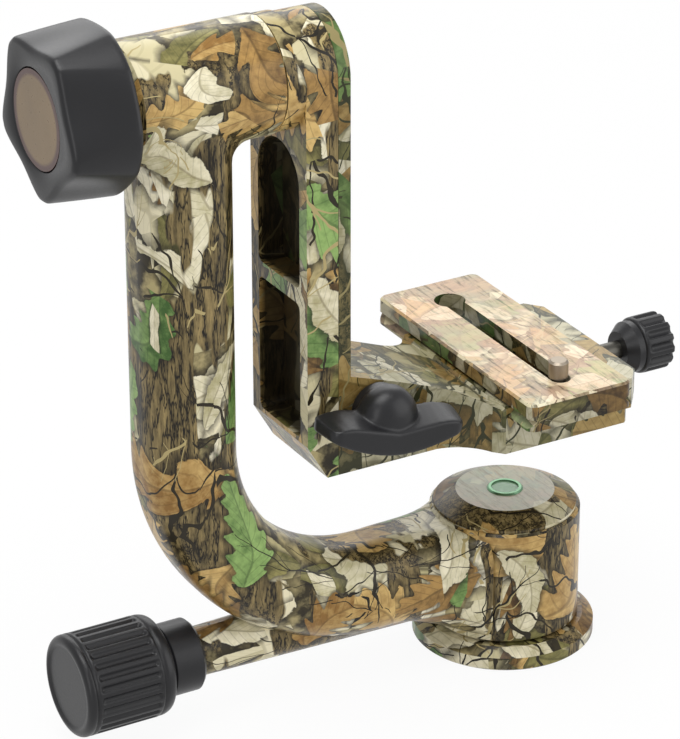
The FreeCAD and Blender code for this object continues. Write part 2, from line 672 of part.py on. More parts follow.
def upper_pocket():
    centre = UPPER_POCKET_TOP_Z - POCKET_HALF_Y
    x1 = BAR_LEFT_X + POCKET_DEEP
    low = block(BAR_LEFT_X - 1, x1, -POCKET_HALF_Y, POCKET_HALF_Y, UPPER_POCKET_LOW_Z, centre)
    low = rounded_corners_x(low, UPPER_POCKET_LOW_Z)
    return low.fuse(rod_x(POCKET_HALF_Y, BAR_LEFT_X - 1, x1, 0, centre)).removeSplitter()


def rounded_corners_x(shape, *levels):
    edges = []
    for edge in shape.Edges:
        box = edge.BoundBox
        if box.XLength > 1 and any(abs(box.ZMin - level) < 0.01 for level in levels):
            edges.append(edge)
    return shape.makeFillet(POCKET_CORNER_R, edges)


def lower_pocket():
    x1 = BAR_LEFT_X + POCKET_DEEP
    well = block(BAR_LEFT_X - 1, x1, -POCKET_HALF_Y, POCKET_HALF_Y, LOWER_POCKET_LOW_Z, LOWER_POCKET_TOP_Z)
    return rounded_corners_x(well, LOWER_POCKET_LOW_Z, LOWER_POCKET_TOP_Z)


def rail(grow, z0, z1):
    neck = RAIL_HALF_Y - RAIL_UNDERCUT + grow
    face = RAIL_HALF_Y + grow
    x0 = BAR_RIGHT_X - 0.5
    x1 = RAIL_X + grow
    points = [Vector(x0, -neck, z0), Vector(BAR_RIGHT_X, -neck, z0), Vector(x1, -face, z0),
              Vector(x1, face, z0), Vector(BAR_RIGHT_X, neck, z0), Vector(x0, neck, z0)]
    return prism(points, Vector(0, 0, z1 - z0))


def swing_arm():
    disc = rod_x(SWING_DISC_R, DISC_LEFT_X, BAR_LEFT_X, 0, TILT_Z)
    bar = bar_outline(BAR_LEFT_X, BAR_T)
    chamfer = prism_y([(BAR_LEFT_X - 1, BAR_BOTTOM_Z - 1), (BAR_LEFT_X + BAR_CHAMFER_X, BAR_BOTTOM_Z - 1),
                       (BAR_LEFT_X + BAR_CHAMFER_X, BAR_BOTTOM_Z),
                       (BAR_LEFT_X, BAR_BOTTOM_Z + BAR_CHAMFER_Z), (BAR_LEFT_X - 1, BAR_BOTTOM_Z + BAR_CHAMFER_Z)],
                      -BAR_HALF_Y - 1, BAR_HALF_Y + 1)
    solid = disc.fuse([bar, rail(0.0, RAIL_LOW_Z, RAIL_TOP_Z)]).removeSplitter()
    seat = rod_x(SHAFT_R, DISC_LEFT_X - 1, DISC_LEFT_X + SHAFT_SEAT, 0, TILT_Z)
    hole = rod_x(SHAFT_SCREW_R, DISC_LEFT_X, BAR_RIGHT_X + 5, 0, TILT_Z)
    sink = rod_x(SHAFT_SCREW_HEAD_R, BAR_RIGHT_X - SHAFT_SCREW_HEAD_H - 0.4, BAR_RIGHT_X + 5, 0, TILT_Z)
    return solid.cut([chamfer, upper_pocket(), lower_pocket(), seat, hole, sink])


def shaft_screw_start_x():
    return BAR_RIGHT_X - SHAFT_SCREW_HEAD_H - 0.4 - SHAFT_SCREW_L


def tilt_shaft():
    shaft = rod_x(SHAFT_R, SHAFT_NUT_X, DISC_LEFT_X + SHAFT_SEAT, 0, TILT_Z)
    return shaft.cut(rod_x(SHAFT_SCREW_R, shaft_screw_start_x(), BAR_RIGHT_X, 0, TILT_Z))


def shaft_nut():
    ring = rod_x(SHAFT_NUT_R, SHAFT_NUT_X, SHAFT_NUT_X + SHAFT_NUT_T, 0, TILT_Z)
    return ring.cut(rod_x(SHAFT_R, SHAFT_NUT_X, SHAFT_NUT_X + SHAFT_NUT_T, 0, TILT_Z))


def shaft_screw():
    head_x = BAR_RIGHT_X - SHAFT_SCREW_HEAD_H - 0.4
    shank = rod_x(SHAFT_SCREW_R, shaft_screw_start_x(), head_x, 0, TILT_Z)
    head = rod_x(SHAFT_SCREW_HEAD_R, head_x, head_x + SHAFT_SCREW_HEAD_H, 0, TILT_Z)
    socket = hexagon_z(SHAFT_SCREW_HEX, 0, SHAFT_SCREW_HEX_DEEP + 0.2)
    socket.rotate(Vector(0, 0, 0), Y_AXIS, 90)
    socket.translate(Vector(head_x + SHAFT_SCREW_HEAD_H - SHAFT_SCREW_HEX_DEEP, 0, TILT_Z))
    return shank.fuse(head).cut(socket)


# ---- platform ---------------------------------------------------------------

def bracket_side():
    y0 = -CLAMP_HALF_Y
    corner = Vector(LEG_RIGHT_X, y0, WEB_TOP_Z)
    end = Vector(CLAMP_LEFT_X, y0, WEB_END_Z)
    middle = (corner + end) * 0.5 + Vector(0, 0, WEB_CROWN)
    web = Part.Arc(corner, middle, end).toShape()
    points = [end, Vector(CLAMP_LEFT_X, y0, SHELF_TOP_Z), Vector(CLAMP_RIGHT_X, y0, SHELF_TOP_Z),
              Vector(CLAMP_RIGHT_X, y0, BAR_BOTTOM_Z), Vector(LEG_LEFT_X, y0, BAR_BOTTOM_Z),
              Vector(LEG_LEFT_X, y0, TILT_Z), Vector(LEG_RIGHT_X, y0, TILT_Z), corner]
    outline = Part.Wire([web] + Part.makePolygon(points).Edges)
    return Part.Face(outline).extrude(Vector(0, 2 * CLAMP_HALF_Y, 0))


def bracket_plan():
    z0 = BAR_BOTTOM_Z - 1
    left = LEG_LEFT_X - 1
    side = BAR_HALF_Y
    right = CLAMP_RIGHT_X
    facet = Vector(CLAMP_LEFT_X + CLAMP_CORNER, -CLAMP_HALF_Y, z0)
    end = facet + Vector(-PLAN_FACET_X, PLAN_FACET_Y, 0)
    start = Vector(end.x - PLAN_FLARE_L, -side, z0)
    near = [start, (start + end) * 0.5 + Vector(0, PLAN_FLARE_SAG, 0), end]
    far = [Vector(p.x, -p.y, z0) for p in reversed(near)]
    far_facet = Vector(facet.x, -facet.y, z0)
    chain = Part.makePolygon([end, facet, Vector(right - CLAMP_CORNER, -CLAMP_HALF_Y, z0),
                              Vector(right, CLAMP_CORNER - CLAMP_HALF_Y, z0),
                              Vector(right, CLAMP_HALF_Y - CLAMP_CORNER, z0),
                              Vector(right - CLAMP_CORNER, CLAMP_HALF_Y, z0), far_facet, far[0]])
    edges = [Part.makeLine(Vector(left, -side, z0), start), Part.Arc(*near).toShape()] + chain.Edges
    edges += [Part.Arc(*far).toShape(), Part.makeLine(far[2], Vector(left, side, z0)),
              Part.makeLine(Vector(left, side, z0), Vector(left, -side, z0))]
    return Part.Face(Part.Wire(edges)).extrude(Vector(0, 0, TILT_Z))


def height_lock_bores():
    x = HEIGHT_LOCK_X
    z = HEIGHT_LOCK_Z
    front = -BAR_HALF_Y
    cam_y = front + CAM_SHAFT_L
    return [rod_y(CAM_SHAFT_R + RUN_FIT, front - 1, cam_y, x, z),
            rod_y(CAM_R + CAM_THROW + 0.25, cam_y, cam_y + CAM_L + 0.5, x, z),
            rod_x(PAD_R + RUN_FIT, LEG_LEFT_X - 1, x, cam_y + CAM_L / 2, z)]


def clamp_bolts():
    bolts = []
    for x in (CLAMP_BOLT_LEFT_X, CLAMP_BOLT_RIGHT_X):
        for y in (-CLAMP_BOLT_Y, CLAMP_BOLT_Y):
            bolts.append(countersunk_screw(CLAMP_BOLT_R, CLAMP_BOLT_HEAD_R, CLAMP_BOLT_L, x, y, BAR_BOTTOM_Z))
    return bolts


def platform_bracket():
    leg = bar_outline(LEG_LEFT_X, LEG_T)
    solid = bracket_side().common(bracket_plan()).fuse(leg).removeSplitter()
    groove = rail(SLIDE_FIT, BAR_BOTTOM_Z - 1, RAIL_TOP_Z + SLIDE_FIT)
    return solid.cut([groove] + height_lock_bores() + clamp_bolts())


def jaw_lip(sign):
    waist = PLATE_HALF_X - PLATE_UNDERCUT + SLIDE_FIT
    foot = PLATE_HALF_X + SLIDE_FIT
    foot_z = PLATE_LOW_Z + PLATE_FOOT_H
    waist_z = foot_z + PLATE_UNDERCUT
    return [(sign * foot, CLAMP_FLOOR_Z - 0.1), (sign * foot, foot_z), (sign * waist, waist_z),
            (sign * waist, JAW_TOP_Z)]


def clamp_plan():
    x0 = CLAMP_LEFT_X
    x1 = CLAMP_RIGHT_X
    y = CLAMP_HALF_Y
    cut = CLAMP_CORNER
    corners = [(x1 - cut, -y), (x1, cut - y), (x1, y - cut), (x1 - cut, y),
               (x0 + cut, y), (x0, y - cut), (x0, cut - y), (x0 + cut, -y)]
    return prism([Vector(u, v, SHELF_TOP_Z) for u, v in corners], Vector(0, 0, PLATE_TOP_Z - SHELF_TOP_Z))


def clamp_base():
    low = SHELF_TOP_Z
    x0 = CLAMP_LEFT_X
    x1 = CLAMP_RIGHT_X
    outline = [(x0, low), (x1, low), (x1, CLAMP_FLOOR_Z), (-PLATE_HALF_X - SLIDE_FIT, CLAMP_FLOOR_Z)]
    outline += jaw_lip(-1)[1:]
    outline += [(x0 + JAW_EDGE, JAW_TOP_Z), (x0, JAW_TOP_Z - JAW_EDGE)]
    body = prism_y(outline, -CLAMP_HALF_Y, CLAMP_HALF_Y)
    body = body.common(clamp_plan())
    recess = block(JAW_IN_X - JAW_LEAD, x1 + 1, -CLAMP_HALF_Y - 1, CLAMP_HALF_Y + 1,
                   JAW_LOW_Z - SLIDE_FIT, CLAMP_FLOOR_Z + 1)
    screw = rod_x(CLAMP_SCREW_R + RUN_FIT, CLAMP_SCREW_TIP_X - 1, x1, 0, CLAMP_SCREW_Z)
    pins = [rod_x(GUIDE_PIN_R + RUN_FIT, JAW_IN_X - GUIDE_PIN_IN - 1, x1, y, CLAMP_SCREW_Z)
            for y in (-GUIDE_PIN_Y, GUIDE_PIN_Y)]
    return body.cut([recess, screw] + pins + clamp_bolts())


def jaw_plan():
    near = [(JAW_IN_X, -JAW_HALF_Y), (JAW_END_X, -JAW_HALF_Y), (JAW_OUT_X, -JAW_NOSE_HALF_Y)]
    corners = near + [(x, -y) for x, y in reversed(near)]
    return prism([Vector(x, y, JAW_LOW_Z) for x, y in corners], Vector(0, 0, JAW_TOP_Z - JAW_LOW_Z))


def moving_jaw():
    lip = jaw_lip(1)
    floor = CLAMP_FLOOR_Z - 0.1
    edge = JAW_EDGE_OUT
    outline = [(JAW_IN_X, JAW_LOW_Z), (JAW_OUT_X - edge, JAW_LOW_Z), (JAW_OUT_X, JAW_LOW_Z + edge),
               (JAW_OUT_X, JAW_TOP_Z - edge), (JAW_OUT_X - edge, JAW_TOP_Z), lip[3], lip[2], lip[1], lip[0],
               (JAW_IN_X, floor)]
    body = prism_y(outline, -JAW_HALF_Y, JAW_HALF_Y).common(jaw_plan())
    screw = rod_x(CLAMP_SCREW_R + RUN_FIT, JAW_IN_X - 1, JAW_OUT_X + 1, 0, CLAMP_SCREW_Z)
    return body.cut([screw] + jaw_guide_pins())


def jaw_guide_pins():
    return [rod_x(GUIDE_PIN_R, JAW_IN_X - GUIDE_PIN_IN, JAW_IN_X + GUIDE_PIN_OUT, y, CLAMP_SCREW_Z)
            for y in (-GUIDE_PIN_Y, GUIDE_PIN_Y)]


# ---- clamp knob ---------------------------------------------------------------

def clamp_knob_x():
    return CLAMP_COLLAR_X + CLAMP_COLLAR_L


def clamp_knob_grip():
    x0 = clamp_knob_x()
    x1 = x0 + CLAMP_KNOB_L
    edge = CLAMP_KNOB_EDGE
    body = turned_x([(x0, 0), (x0, CLAMP_KNOB_R - edge), (x0 + edge, CLAMP_KNOB_R), (x1 - edge, CLAMP_KNOB_R),
                     (x1, CLAMP_KNOB_R - edge), (x1, 0)], CLAMP_SCREW_Z)
    cuts = flutes_x(CLAMP_KNOB_R, CLAMP_KNOB_FLUTE_R, CLAMP_KNOB_FLUTE_DEEP, CLAMP_KNOB_FLUTES,
                    x0 - 1, x1 + 1, CLAMP_SCREW_Z)
    hole = rod_x(CLAMP_SCREW_R, x0, x0 + CLAMP_SCREW_SEAT, 0, CLAMP_SCREW_Z)
    return body.cut(cuts + [hole])


def clamp_knob_collar():
    x0 = CLAMP_COLLAR_X
    x1 = clamp_knob_x()
    return turned_x([(x0, CLAMP_SCREW_R), (x0, CLAMP_COLLAR_NOSE_R), (x0 + 0.6 * CLAMP_COLLAR_L, CLAMP_COLLAR_R),
                     (x1, CLAMP_COLLAR_R), (x1, CLAMP_SCREW_R)], CLAMP_SCREW_Z)


def clamp_screw():
    return rod_x(CLAMP_SCREW_R, CLAMP_SCREW_TIP_X, clamp_knob_x() + CLAMP_SCREW_SEAT, 0, CLAMP_SCREW_Z)


# ---- height lock ----------------------------------------------------------------

def wing_blade(inset, y0, y1):
    root = 0.5 * WING_ROOT_T - inset
    tip = 0.5 * WING_TIP_T - inset
    length = WING_HALF_L - inset
    blade = prism_y([(0, -root), (length, -tip), (length, tip), (0, root)], y0, y1)
    ends = [edge for edge in blade.Edges if edge.BoundBox.YLength > 0.1 and edge.BoundBox.XMin > length - 0.1]
    blade = blade.makeFillet(WING_END_R - inset, ends)
    blade.rotate(Vector(0, 0, 0), Y_AXIS, -WING_RISE)
    blade.translate(Vector(HEIGHT_LOCK_X, 0, HEIGHT_LOCK_Z - WING_DROP))
    return blade


def wing_slab(inset, y0, y1):
    right = wing_blade(inset, y0, y1)
    left = right.mirror(Vector(HEIGHT_LOCK_X, 0, 0), X_AXIS)
    return right.fuse(left).removeSplitter()


def wing_hub(back, face):
    nose = face - WING_DOME_RISE
    crown_r = (WING_DOME_R ** 2 + WING_DOME_CROWN ** 2) / (2 * WING_DOME_CROWN)
    ball = Part.makeSphere(crown_r, Vector(HEIGHT_LOCK_X, nose + crown_r, HEIGHT_LOCK_Z))
    return rod_y(WING_DOME_R, nose, back, HEIGHT_LOCK_X, HEIGHT_LOCK_Z).common(ball)


def height_knob_wing():
    front = -BAR_HALF_Y - TURN_GAP
    back = front - WING_HUB_H
    face = back - WING_T + WING_DOME_RISE
    body = wing_slab(0.0, face + WING_EDGE, back)
    step = wing_slab(0.5 * WING_EDGE, face + 0.5 * WING_EDGE, face + WING_EDGE)
    nose = wing_slab(WING_EDGE, face, face + 0.5 * WING_EDGE)
    neck = rod_y(WING_HUB_R, back, front, HEIGHT_LOCK_X, HEIGHT_LOCK_Z)
    knob = body.fuse([step, nose, neck, wing_hub(back, face)]).removeSplitter()
    knob.rotate(Vector(HEIGHT_LOCK_X, 0, HEIGHT_LOCK_Z), Y_AXIS, WING_TILT)
    return knob.cut(rod_y(CAM_SHAFT_R, front - CAM_SHAFT_SEAT, front + 1, HEIGHT_LOCK_X, HEIGHT_LOCK_Z))


def height_lock_cam():
    front = -BAR_HALF_Y
    cam_y = front + CAM_SHAFT_L
    shaft = rod_y(CAM_SHAFT_R, front - TURN_GAP - CAM_SHAFT_SEAT, cam_y - 0.3, HEIGHT_LOCK_X, HEIGHT_LOCK_Z)
    cam = rod_y(CAM_R, cam_y - 1, cam_y + CAM_L, HEIGHT_LOCK_X, HEIGHT_LOCK_Z - CAM_THROW)
    return shaft.fuse(cam).removeSplitter()


def height_lock_pad():
    pad_y = -BAR_HALF_Y + CAM_SHAFT_L + CAM_L / 2
    x0 = RAIL_X + PAD_GAP
    x1 = HEIGHT_LOCK_X - CAM_R - PAD_CAM_GAP
    return rod_x(PAD_R, x0, x1, pad_y, HEIGHT_LOCK_Z)


# ---- camera plate -----------------------------------------------------------------

def camera_plate():
    foot_z = PLATE_LOW_Z + PLATE_FOOT_H
    waist_z = foot_z + PLATE_UNDERCUT
    slab_z = waist_z + PLATE_WAIST_H
    half = PLATE_HALF_X
    waist = half - PLATE_UNDERCUT
    side = [(half, PLATE_LOW_Z), (half, foot_z), (waist, waist_z), (waist, slab_z), (half - 0.4, slab_z),
            (half, slab_z + 0.4), (half, PLATE_TOP_Z - PLATE_EDGE), (half - PLATE_EDGE, PLATE_TOP_Z)]
    outline = side + [(-x, z) for x, z in reversed(side)]
    body = prism_y(outline, PLATE_NEAR_Y, PLATE_FAR_Y)
    plan = block(-half, half, PLATE_NEAR_Y, PLATE_FAR_Y, PLATE_LOW_Z, PLATE_TOP_Z)
    uprights = [edge for edge in plan.Edges if edge.BoundBox.ZLength > 1]
    plan = plan.makeFillet(PLATE_CORNER_R, uprights)
    rims = [edge for edge in plan.Edges if edge.BoundBox.ZMin > PLATE_TOP_Z - 0.01]
    plan = plan.makeChamfer(PLATE_EDGE, rims)
    slot = block(-SLOT_HALF_X, SLOT_HALF_X, SLOT_NEAR_Y + SLOT_HALF_X, KEYHOLE_Y, PLATE_LOW_Z - 1, PLATE_TOP_Z + 1)
    ends = [rod_z(SLOT_HALF_X, PLATE_LOW_Z - 1, PLATE_TOP_Z + 1, 0, SLOT_NEAR_Y + SLOT_HALF_X),
            rod_z(KEYHOLE_R, PLATE_LOW_Z - 1, PLATE_TOP_Z + 1, 0, KEYHOLE_Y)]
    near = CAMERA_SCREW_Y - 2.0
    channel = block(-CHANNEL_HALF_X, CHANNEL_HALF_X, near, KEYHOLE_Y, PLATE_LOW_Z - 1, PLATE_LOW_Z + CHANNEL_H)
    wells = [rod_z(CHANNEL_HALF_X, PLATE_LOW_Z - 1, PLATE_LOW_Z + CHANNEL_H, 0, y) for y in (near, KEYHOLE_Y)]
    return body.common(plan).cut([slot, channel] + ends + wells)


def camera_screw_washer():
    top = PLATE_LOW_Z + CHANNEL_H - THRUST_PLAY
    ring = rod_z(CAMERA_WASHER_R, top - CAMERA_WASHER_T, top, 0, CAMERA_SCREW_Y)
    return ring.cut(rod_z(CAMERA_SCREW_R + RUN_FIT, top - CAMERA_WASHER_T, top, 0, CAMERA_SCREW_Y))


def camera_screw():
    washer_top = PLATE_LOW_Z + CHANNEL_H - THRUST_PLAY
    head_top = washer_top - CAMERA_WASHER_T - THRUST_PLAY
    head_low = head_top - CAMERA_SCREW_HEAD_H
    thread_low = PLATE_TOP_Z + CAMERA_THREAD_LIFT
    tip = PLATE_TOP_Z + CAMERA_SCREW_PROUD
    r = CAMERA_SCREW_R
    neck = CAMERA_NECK_R
    screw = turned_z([(0, head_low), (CAMERA_SCREW_HEAD_R, head_low), (CAMERA_SCREW_HEAD_R, head_top),
                      (r, head_top), (r, washer_top), (neck, washer_top), (neck, thread_low),
                      (r, thread_low), (r, tip - 0.7), (r - 0.7, tip), (0, tip)])
    screw = screw.cut(hexagon_z(CAMERA_SCREW_HEX, head_low - 1, head_low + 1.6))
    screw.translate(Vector(0, CAMERA_SCREW_Y, 0))
    return screw


def export(name, shape):
    if isinstance(shape, list):
        shape = Part.makeCompound(shape)
    shape.exportStep("parts/" + name + ".step")


PARTS = [base_flange, pan_spindle, base_screws, thrust_washer, top_thrust_washer, spindle_nut,
         lower_pan_bush, upper_pan_bush, j_arm, hub_cap, level_housing, level_fluid, level_bubble, level_lens,
         pan_lock_sleeve, left_tilt_bush, right_tilt_bush, tilt_end_cap,
         tilt_knob_grip, tilt_knob_disc, tilt_knob_screw, tilt_brake_disc, tilt_brake_lining,
         pan_knob_grip, pan_lock_rod, pan_brake_shoe,
         swing_arm, tilt_shaft, shaft_nut, shaft_screw,
         platform_bracket, clamp_base, clamp_bolts, moving_jaw, jaw_guide_pins,
         clamp_knob_grip, clamp_knob_collar, clamp_screw,
         height_knob_wing, height_lock_cam, height_lock_pad,
         camera_plate, camera_screw_washer, camera_screw]

os.makedirs("parts", exist_ok=True)
for make in PARTS:
    export(make.__name__, make())
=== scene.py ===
import math

import bmesh
import bpy
from mathutils import Matrix, Vector


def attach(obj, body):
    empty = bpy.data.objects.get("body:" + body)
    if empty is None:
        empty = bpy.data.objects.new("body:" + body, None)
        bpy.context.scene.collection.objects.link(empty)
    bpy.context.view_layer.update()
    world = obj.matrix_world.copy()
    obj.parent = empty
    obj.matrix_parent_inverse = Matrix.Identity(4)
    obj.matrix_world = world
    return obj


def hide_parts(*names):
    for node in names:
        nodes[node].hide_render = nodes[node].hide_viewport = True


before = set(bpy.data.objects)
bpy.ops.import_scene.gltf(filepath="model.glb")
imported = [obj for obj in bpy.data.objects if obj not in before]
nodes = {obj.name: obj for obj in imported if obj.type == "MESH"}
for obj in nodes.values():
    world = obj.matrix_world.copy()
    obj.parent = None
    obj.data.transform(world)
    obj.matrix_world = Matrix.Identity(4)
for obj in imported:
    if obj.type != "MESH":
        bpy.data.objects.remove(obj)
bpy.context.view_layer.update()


# ---------------------------------------------------------------- camera
# A long lens in front of the head's left side, looking down on it at about 26 degrees, with the
# whole head in the picture.
camera_right = Vector((0.86884573, -0.49508149, -0.00119345))
camera_up = Vector((0.21729483, 0.37917442, 0.89944967))
camera_ahead = Vector((0.44484836, 0.78174233, -0.43702273))
camera_place = (-0.60389, -0.95236, 0.64196)
camera_data = bpy.data.cameras.new("camera")
camera_data.lens = 189.47
camera_data.sensor_width = 36
camera_data.clip_end = 50
camera = bpy.data.objects.new("camera", camera_data)
bpy.context.collection.objects.link(camera)
camera_turn = Matrix((camera_right, camera_up, -camera_ahead)).transposed()
camera.matrix_world = Matrix.Translation(camera_place) @ camera_turn.to_4x4()
bpy.context.scene.camera = camera
bpy.context.scene.view_settings.view_transform = "Standard"


# ---------------------------------------------------------------- studio
# A white table with a soft box over it, one behind that the tops mirror, a tall narrow one at the
# left and a broad one at the right. The camera and mirrors see a white room.
middle = Vector((-0.05, 0.0, 0.12))
room_light, table_glow_share = 0.36, 0.93


def soft_box(name, place, wide, high, watts):
    """A rectangular lamp that faces the middle of the head."""
    data = bpy.data.lights.new(name, "AREA")
    data.shape = "RECTANGLE"
    data.size = wide
    data.size_y = high
    data.energy = watts
    lamp = bpy.data.objects.new(name, data)
    lamp.location = place
    lamp.rotation_euler = (middle - Vector(place)).to_track_quat("-Z", "Y").to_euler()
    bpy.context.collection.objects.link(lamp)


soft_box("top_box", (-0.25, -0.1, 1.25), 0.8, 0.8, 11.6)
soft_box("back_box", (0.42, 1.1, 0.85), 1.4, 0.9, 7.4)
soft_box("left_box", (-1.1, -0.95, 0.6), 0.3, 1.1, 3.9)
soft_box("right_box", (0.95, -1.05, 0.5), 1.2, 1.5, 9.5)


def seen_directly(tree):
    """1 for what the camera, a mirror or a clear piece shows, 0 for light falling on the head."""
    rays = tree.nodes.new("ShaderNodeLightPath")
    total = rays.outputs["Is Camera Ray"]
    for kind in ("Is Glossy Ray", "Is Transmission Ray"):
        either = tree.nodes.new("ShaderNodeMath")
        either.operation = "MAXIMUM"
        tree.links.new(total, either.inputs[0])
        tree.links.new(rays.outputs[kind], either.inputs[1])
        total = either.outputs[0]
    return total


world = bpy.data.worlds.new("studio")
bpy.context.scene.world = world
world.use_nodes = True
world_tree = world.node_tree
room = world_tree.nodes["Background"]
room.inputs["Color"].default_value = (1, 1, 1, 1)
room.inputs["Strength"].default_value = room_light
white_room = world_tree.nodes.new("ShaderNodeBackground")
choose = world_tree.nodes.new("ShaderNodeMixShader")
world_tree.links.new(seen_directly(world_tree), choose.inputs[0])
world_tree.links.new(room.outputs[0], choose.inputs[1])
world_tree.links.new(white_room.outputs[0], choose.inputs[2])
world_tree.links.new(choose.outputs[0], world_tree.nodes["World Output"].inputs[0])

table_mesh = bmesh.new()
bmesh.ops.create_grid(table_mesh, x_segments=1, y_segments=1, size=4.0)
table_data = bpy.data.meshes.new("table")
table_mesh.to_mesh(table_data)
table_mesh.free()
table = bpy.data.objects.new("table", table_data)
bpy.context.collection.objects.link(table)
table_paint = bpy.data.materials.new("table white")
table_paint.use_nodes = True
table_tree = table_paint.node_tree
table_tree.nodes["Principled BSDF"].inputs["Base Color"].default_value = (0.8, 0.8, 0.8, 1)
table_tree.nodes["Principled BSDF"].inputs["Roughness"].default_value = 0.9
table_glow = table_tree.nodes.new("ShaderNodeEmission")
table_share = table_tree.nodes.new("ShaderNodeMath")
table_share.operation = "MULTIPLY"
table_share.inputs[1].default_value = table_glow_share
table_mix = table_tree.nodes.new("ShaderNodeMixShader")
table_tree.links.new(seen_directly(table_tree), table_share.inputs[0])
table_tree.links.new(table_share.outputs[0], table_mix.inputs[0])
table_tree.links.new(table_tree.nodes["Principled BSDF"].outputs[0], table_mix.inputs[1])
table_tree.links.new(table_glow.outputs[0], table_mix.inputs[2])
table_tree.links.new(table_mix.outputs[0], table_tree.nodes["Material Output"].inputs[0])
table.data.materials.append(table_paint)


# ---------------------------------------------------------------- woodland print on the castings
# The aluminium castings carry a water transfer print of leaves, twigs and bark under a satin
# lacquer. Leaves and twigs are stamped round scattered points, lying flat on the surface. Every
# length of the print is in millimetres.
metres_to_mm = (1000.0, 1000.0, 1000.0)


def srgb(red, green, blue):
    """The linear colour that nodes take, from an sRGB colour out of 255."""
    return tuple((c / 255 / 12.92) if c < 11 else ((c / 255 + 0.055) / 1.055) ** 2.4
                 for c in (red, green, blue)) + (1.0,)


def step(tree, kind, *fed, **settings):
    """A node with its inputs fed in order by sockets or values; None leaves one as it is."""
    made = tree.nodes.new(kind)
    for name, value in settings.items():
        setattr(made, name, value)
    for socket, value in zip(made.inputs, fed):
        if isinstance(value, bpy.types.NodeSocket):
            tree.links.new(value, socket)
        elif value is not None:
            socket.default_value = value
    return made


def calc(tree, operation, *fed, clamp=False):
    """The result of a Math node."""
    return step(tree, "ShaderNodeMath", *fed, operation=operation, use_clamp=clamp).outputs[0]


def aim(tree, operation, *fed):
    """The result of a Vector Math node."""
    made = step(tree, "ShaderNodeVectorMath", *fed, operation=operation)
    return made.outputs["Value" if operation in ("DOT_PRODUCT", "LENGTH") else "Vector"]


def fade(tree, value, low, high):
    """0 below low, 1 above high and even steps between."""
    return step(tree, "ShaderNodeMapRange", value, low, high, 0.0, 1.0).outputs[0]


def cloud(tree, place, scale, detail=3.0, rough=0.6):
    """Soft noise between 0 and 1."""
    return step(tree, "ShaderNodeTexNoise", place, None, scale, detail, rough).outputs[0]


def over(tree, mask, below, above):
    """One colour laid over another by a mask."""
    made = tree.nodes.new("ShaderNodeMix")
    made.data_type = "RGBA"
    for socket, value in ((made.inputs[0], mask), (made.inputs[6], below), (made.inputs[7], above)):
        if isinstance(value, bpy.types.NodeSocket):
            tree.links.new(value, socket)
        else:
            socket.default_value = value
    return made.outputs[2]


def shader_group(name, taken, given):
    """A new node group with the sockets that feed it and those that it gives out."""
    group = bpy.data.node_groups.new(name, "ShaderNodeTree")
    for label, value in taken:
        kind = "NodeSocketFloat"
        if isinstance(value, tuple):
            kind = "NodeSocketColor" if len(value) == 4 else "NodeSocketVector"
        group.interface.new_socket(label, in_out="INPUT", socket_type=kind).default_value = value
    for label in given:
        kind = "NodeSocketColor" if label == "Color" else "NodeSocketFloat"
        group.interface.new_socket(label, in_out="OUTPUT", socket_type=kind)
    return group, group.nodes.new("NodeGroupInput").outputs, group.nodes.new("NodeGroupOutput").inputs


def placed(tree, group, **fed):
    """A use of a group, fed by label with _ for a space; its outputs."""
    made = tree.nodes.new("ShaderNodeGroup")
    made.node_tree = group
    for label, value in fed.items():
        socket = made.inputs[label.replace("_", " ")]
        if isinstance(value, bpy.types.NodeSocket):
            tree.links.new(value, socket)
        else:
            socket.default_value = value
    return made.outputs


on_surface = (("Place", (0.0, 0.0, 0.0)), ("Facing", (0.0, 0.0, 1.0)))
stamp_inputs = on_surface + (
    ("Shift", (0.0, 0.0, 0.0)), ("Spacing", 30.0), ("Reach", 12.0), ("Share", 0.5))
scatter, take, give = shader_group(
    "scattered stamps", stamp_inputs, ("Along", "Across", "Tone", "Present"))
spot = aim(scatter, "ADD", take["Place"], take["Shift"])
cells = step(scatter, "ShaderNodeTexVoronoi", spot, None,
             calc(scatter, "DIVIDE", 1.0, take["Spacing"]))
local = aim(scatter, "SUBTRACT", spot, cells.outputs["Position"])
turn = aim(scatter, "SUBTRACT", cells.outputs["Color"], (0.5, 0.5, 0.5))
lean = aim(scatter, "DOT_PRODUCT", turn, take["Facing"])
flat = aim(scatter, "SUBTRACT", turn, aim(scatter, "SCALE", take["Facing"], None, None, lean))
along = aim(scatter, "NORMALIZE", flat)
across = aim(scatter, "CROSS_PRODUCT", take["Facing"], along)
parts = step(scatter, "ShaderNodeSeparateXYZ", cells.outputs["Color"]).outputs
tone_draw = calc(scatter, "FRACT", calc(scatter, "MULTIPLY_ADD", parts[0], 7.31, parts[1]))
share_draw = calc(scatter, "FRACT", calc(scatter, "MULTIPLY_ADD", parts[2], 5.17, parts[0]))
for label, direction in (("Along", along), ("Across", across)):
    scatter.links.new(calc(scatter, "DIVIDE", aim(scatter, "DOT_PRODUCT", local, direction),
                           take["Reach"]), give[label])
scatter.links.new(tone_draw, give["Tone"])
scatter.links.new(calc(scatter, "LESS_THAN", share_draw, take["Share"]), give["Present"])


def stamped(tree, take):
    """The scattered stamps with the inputs that leaves and twigs pass on to them."""
    return placed(tree, scatter, **{label: take[label] for label, _ in stamp_inputs})


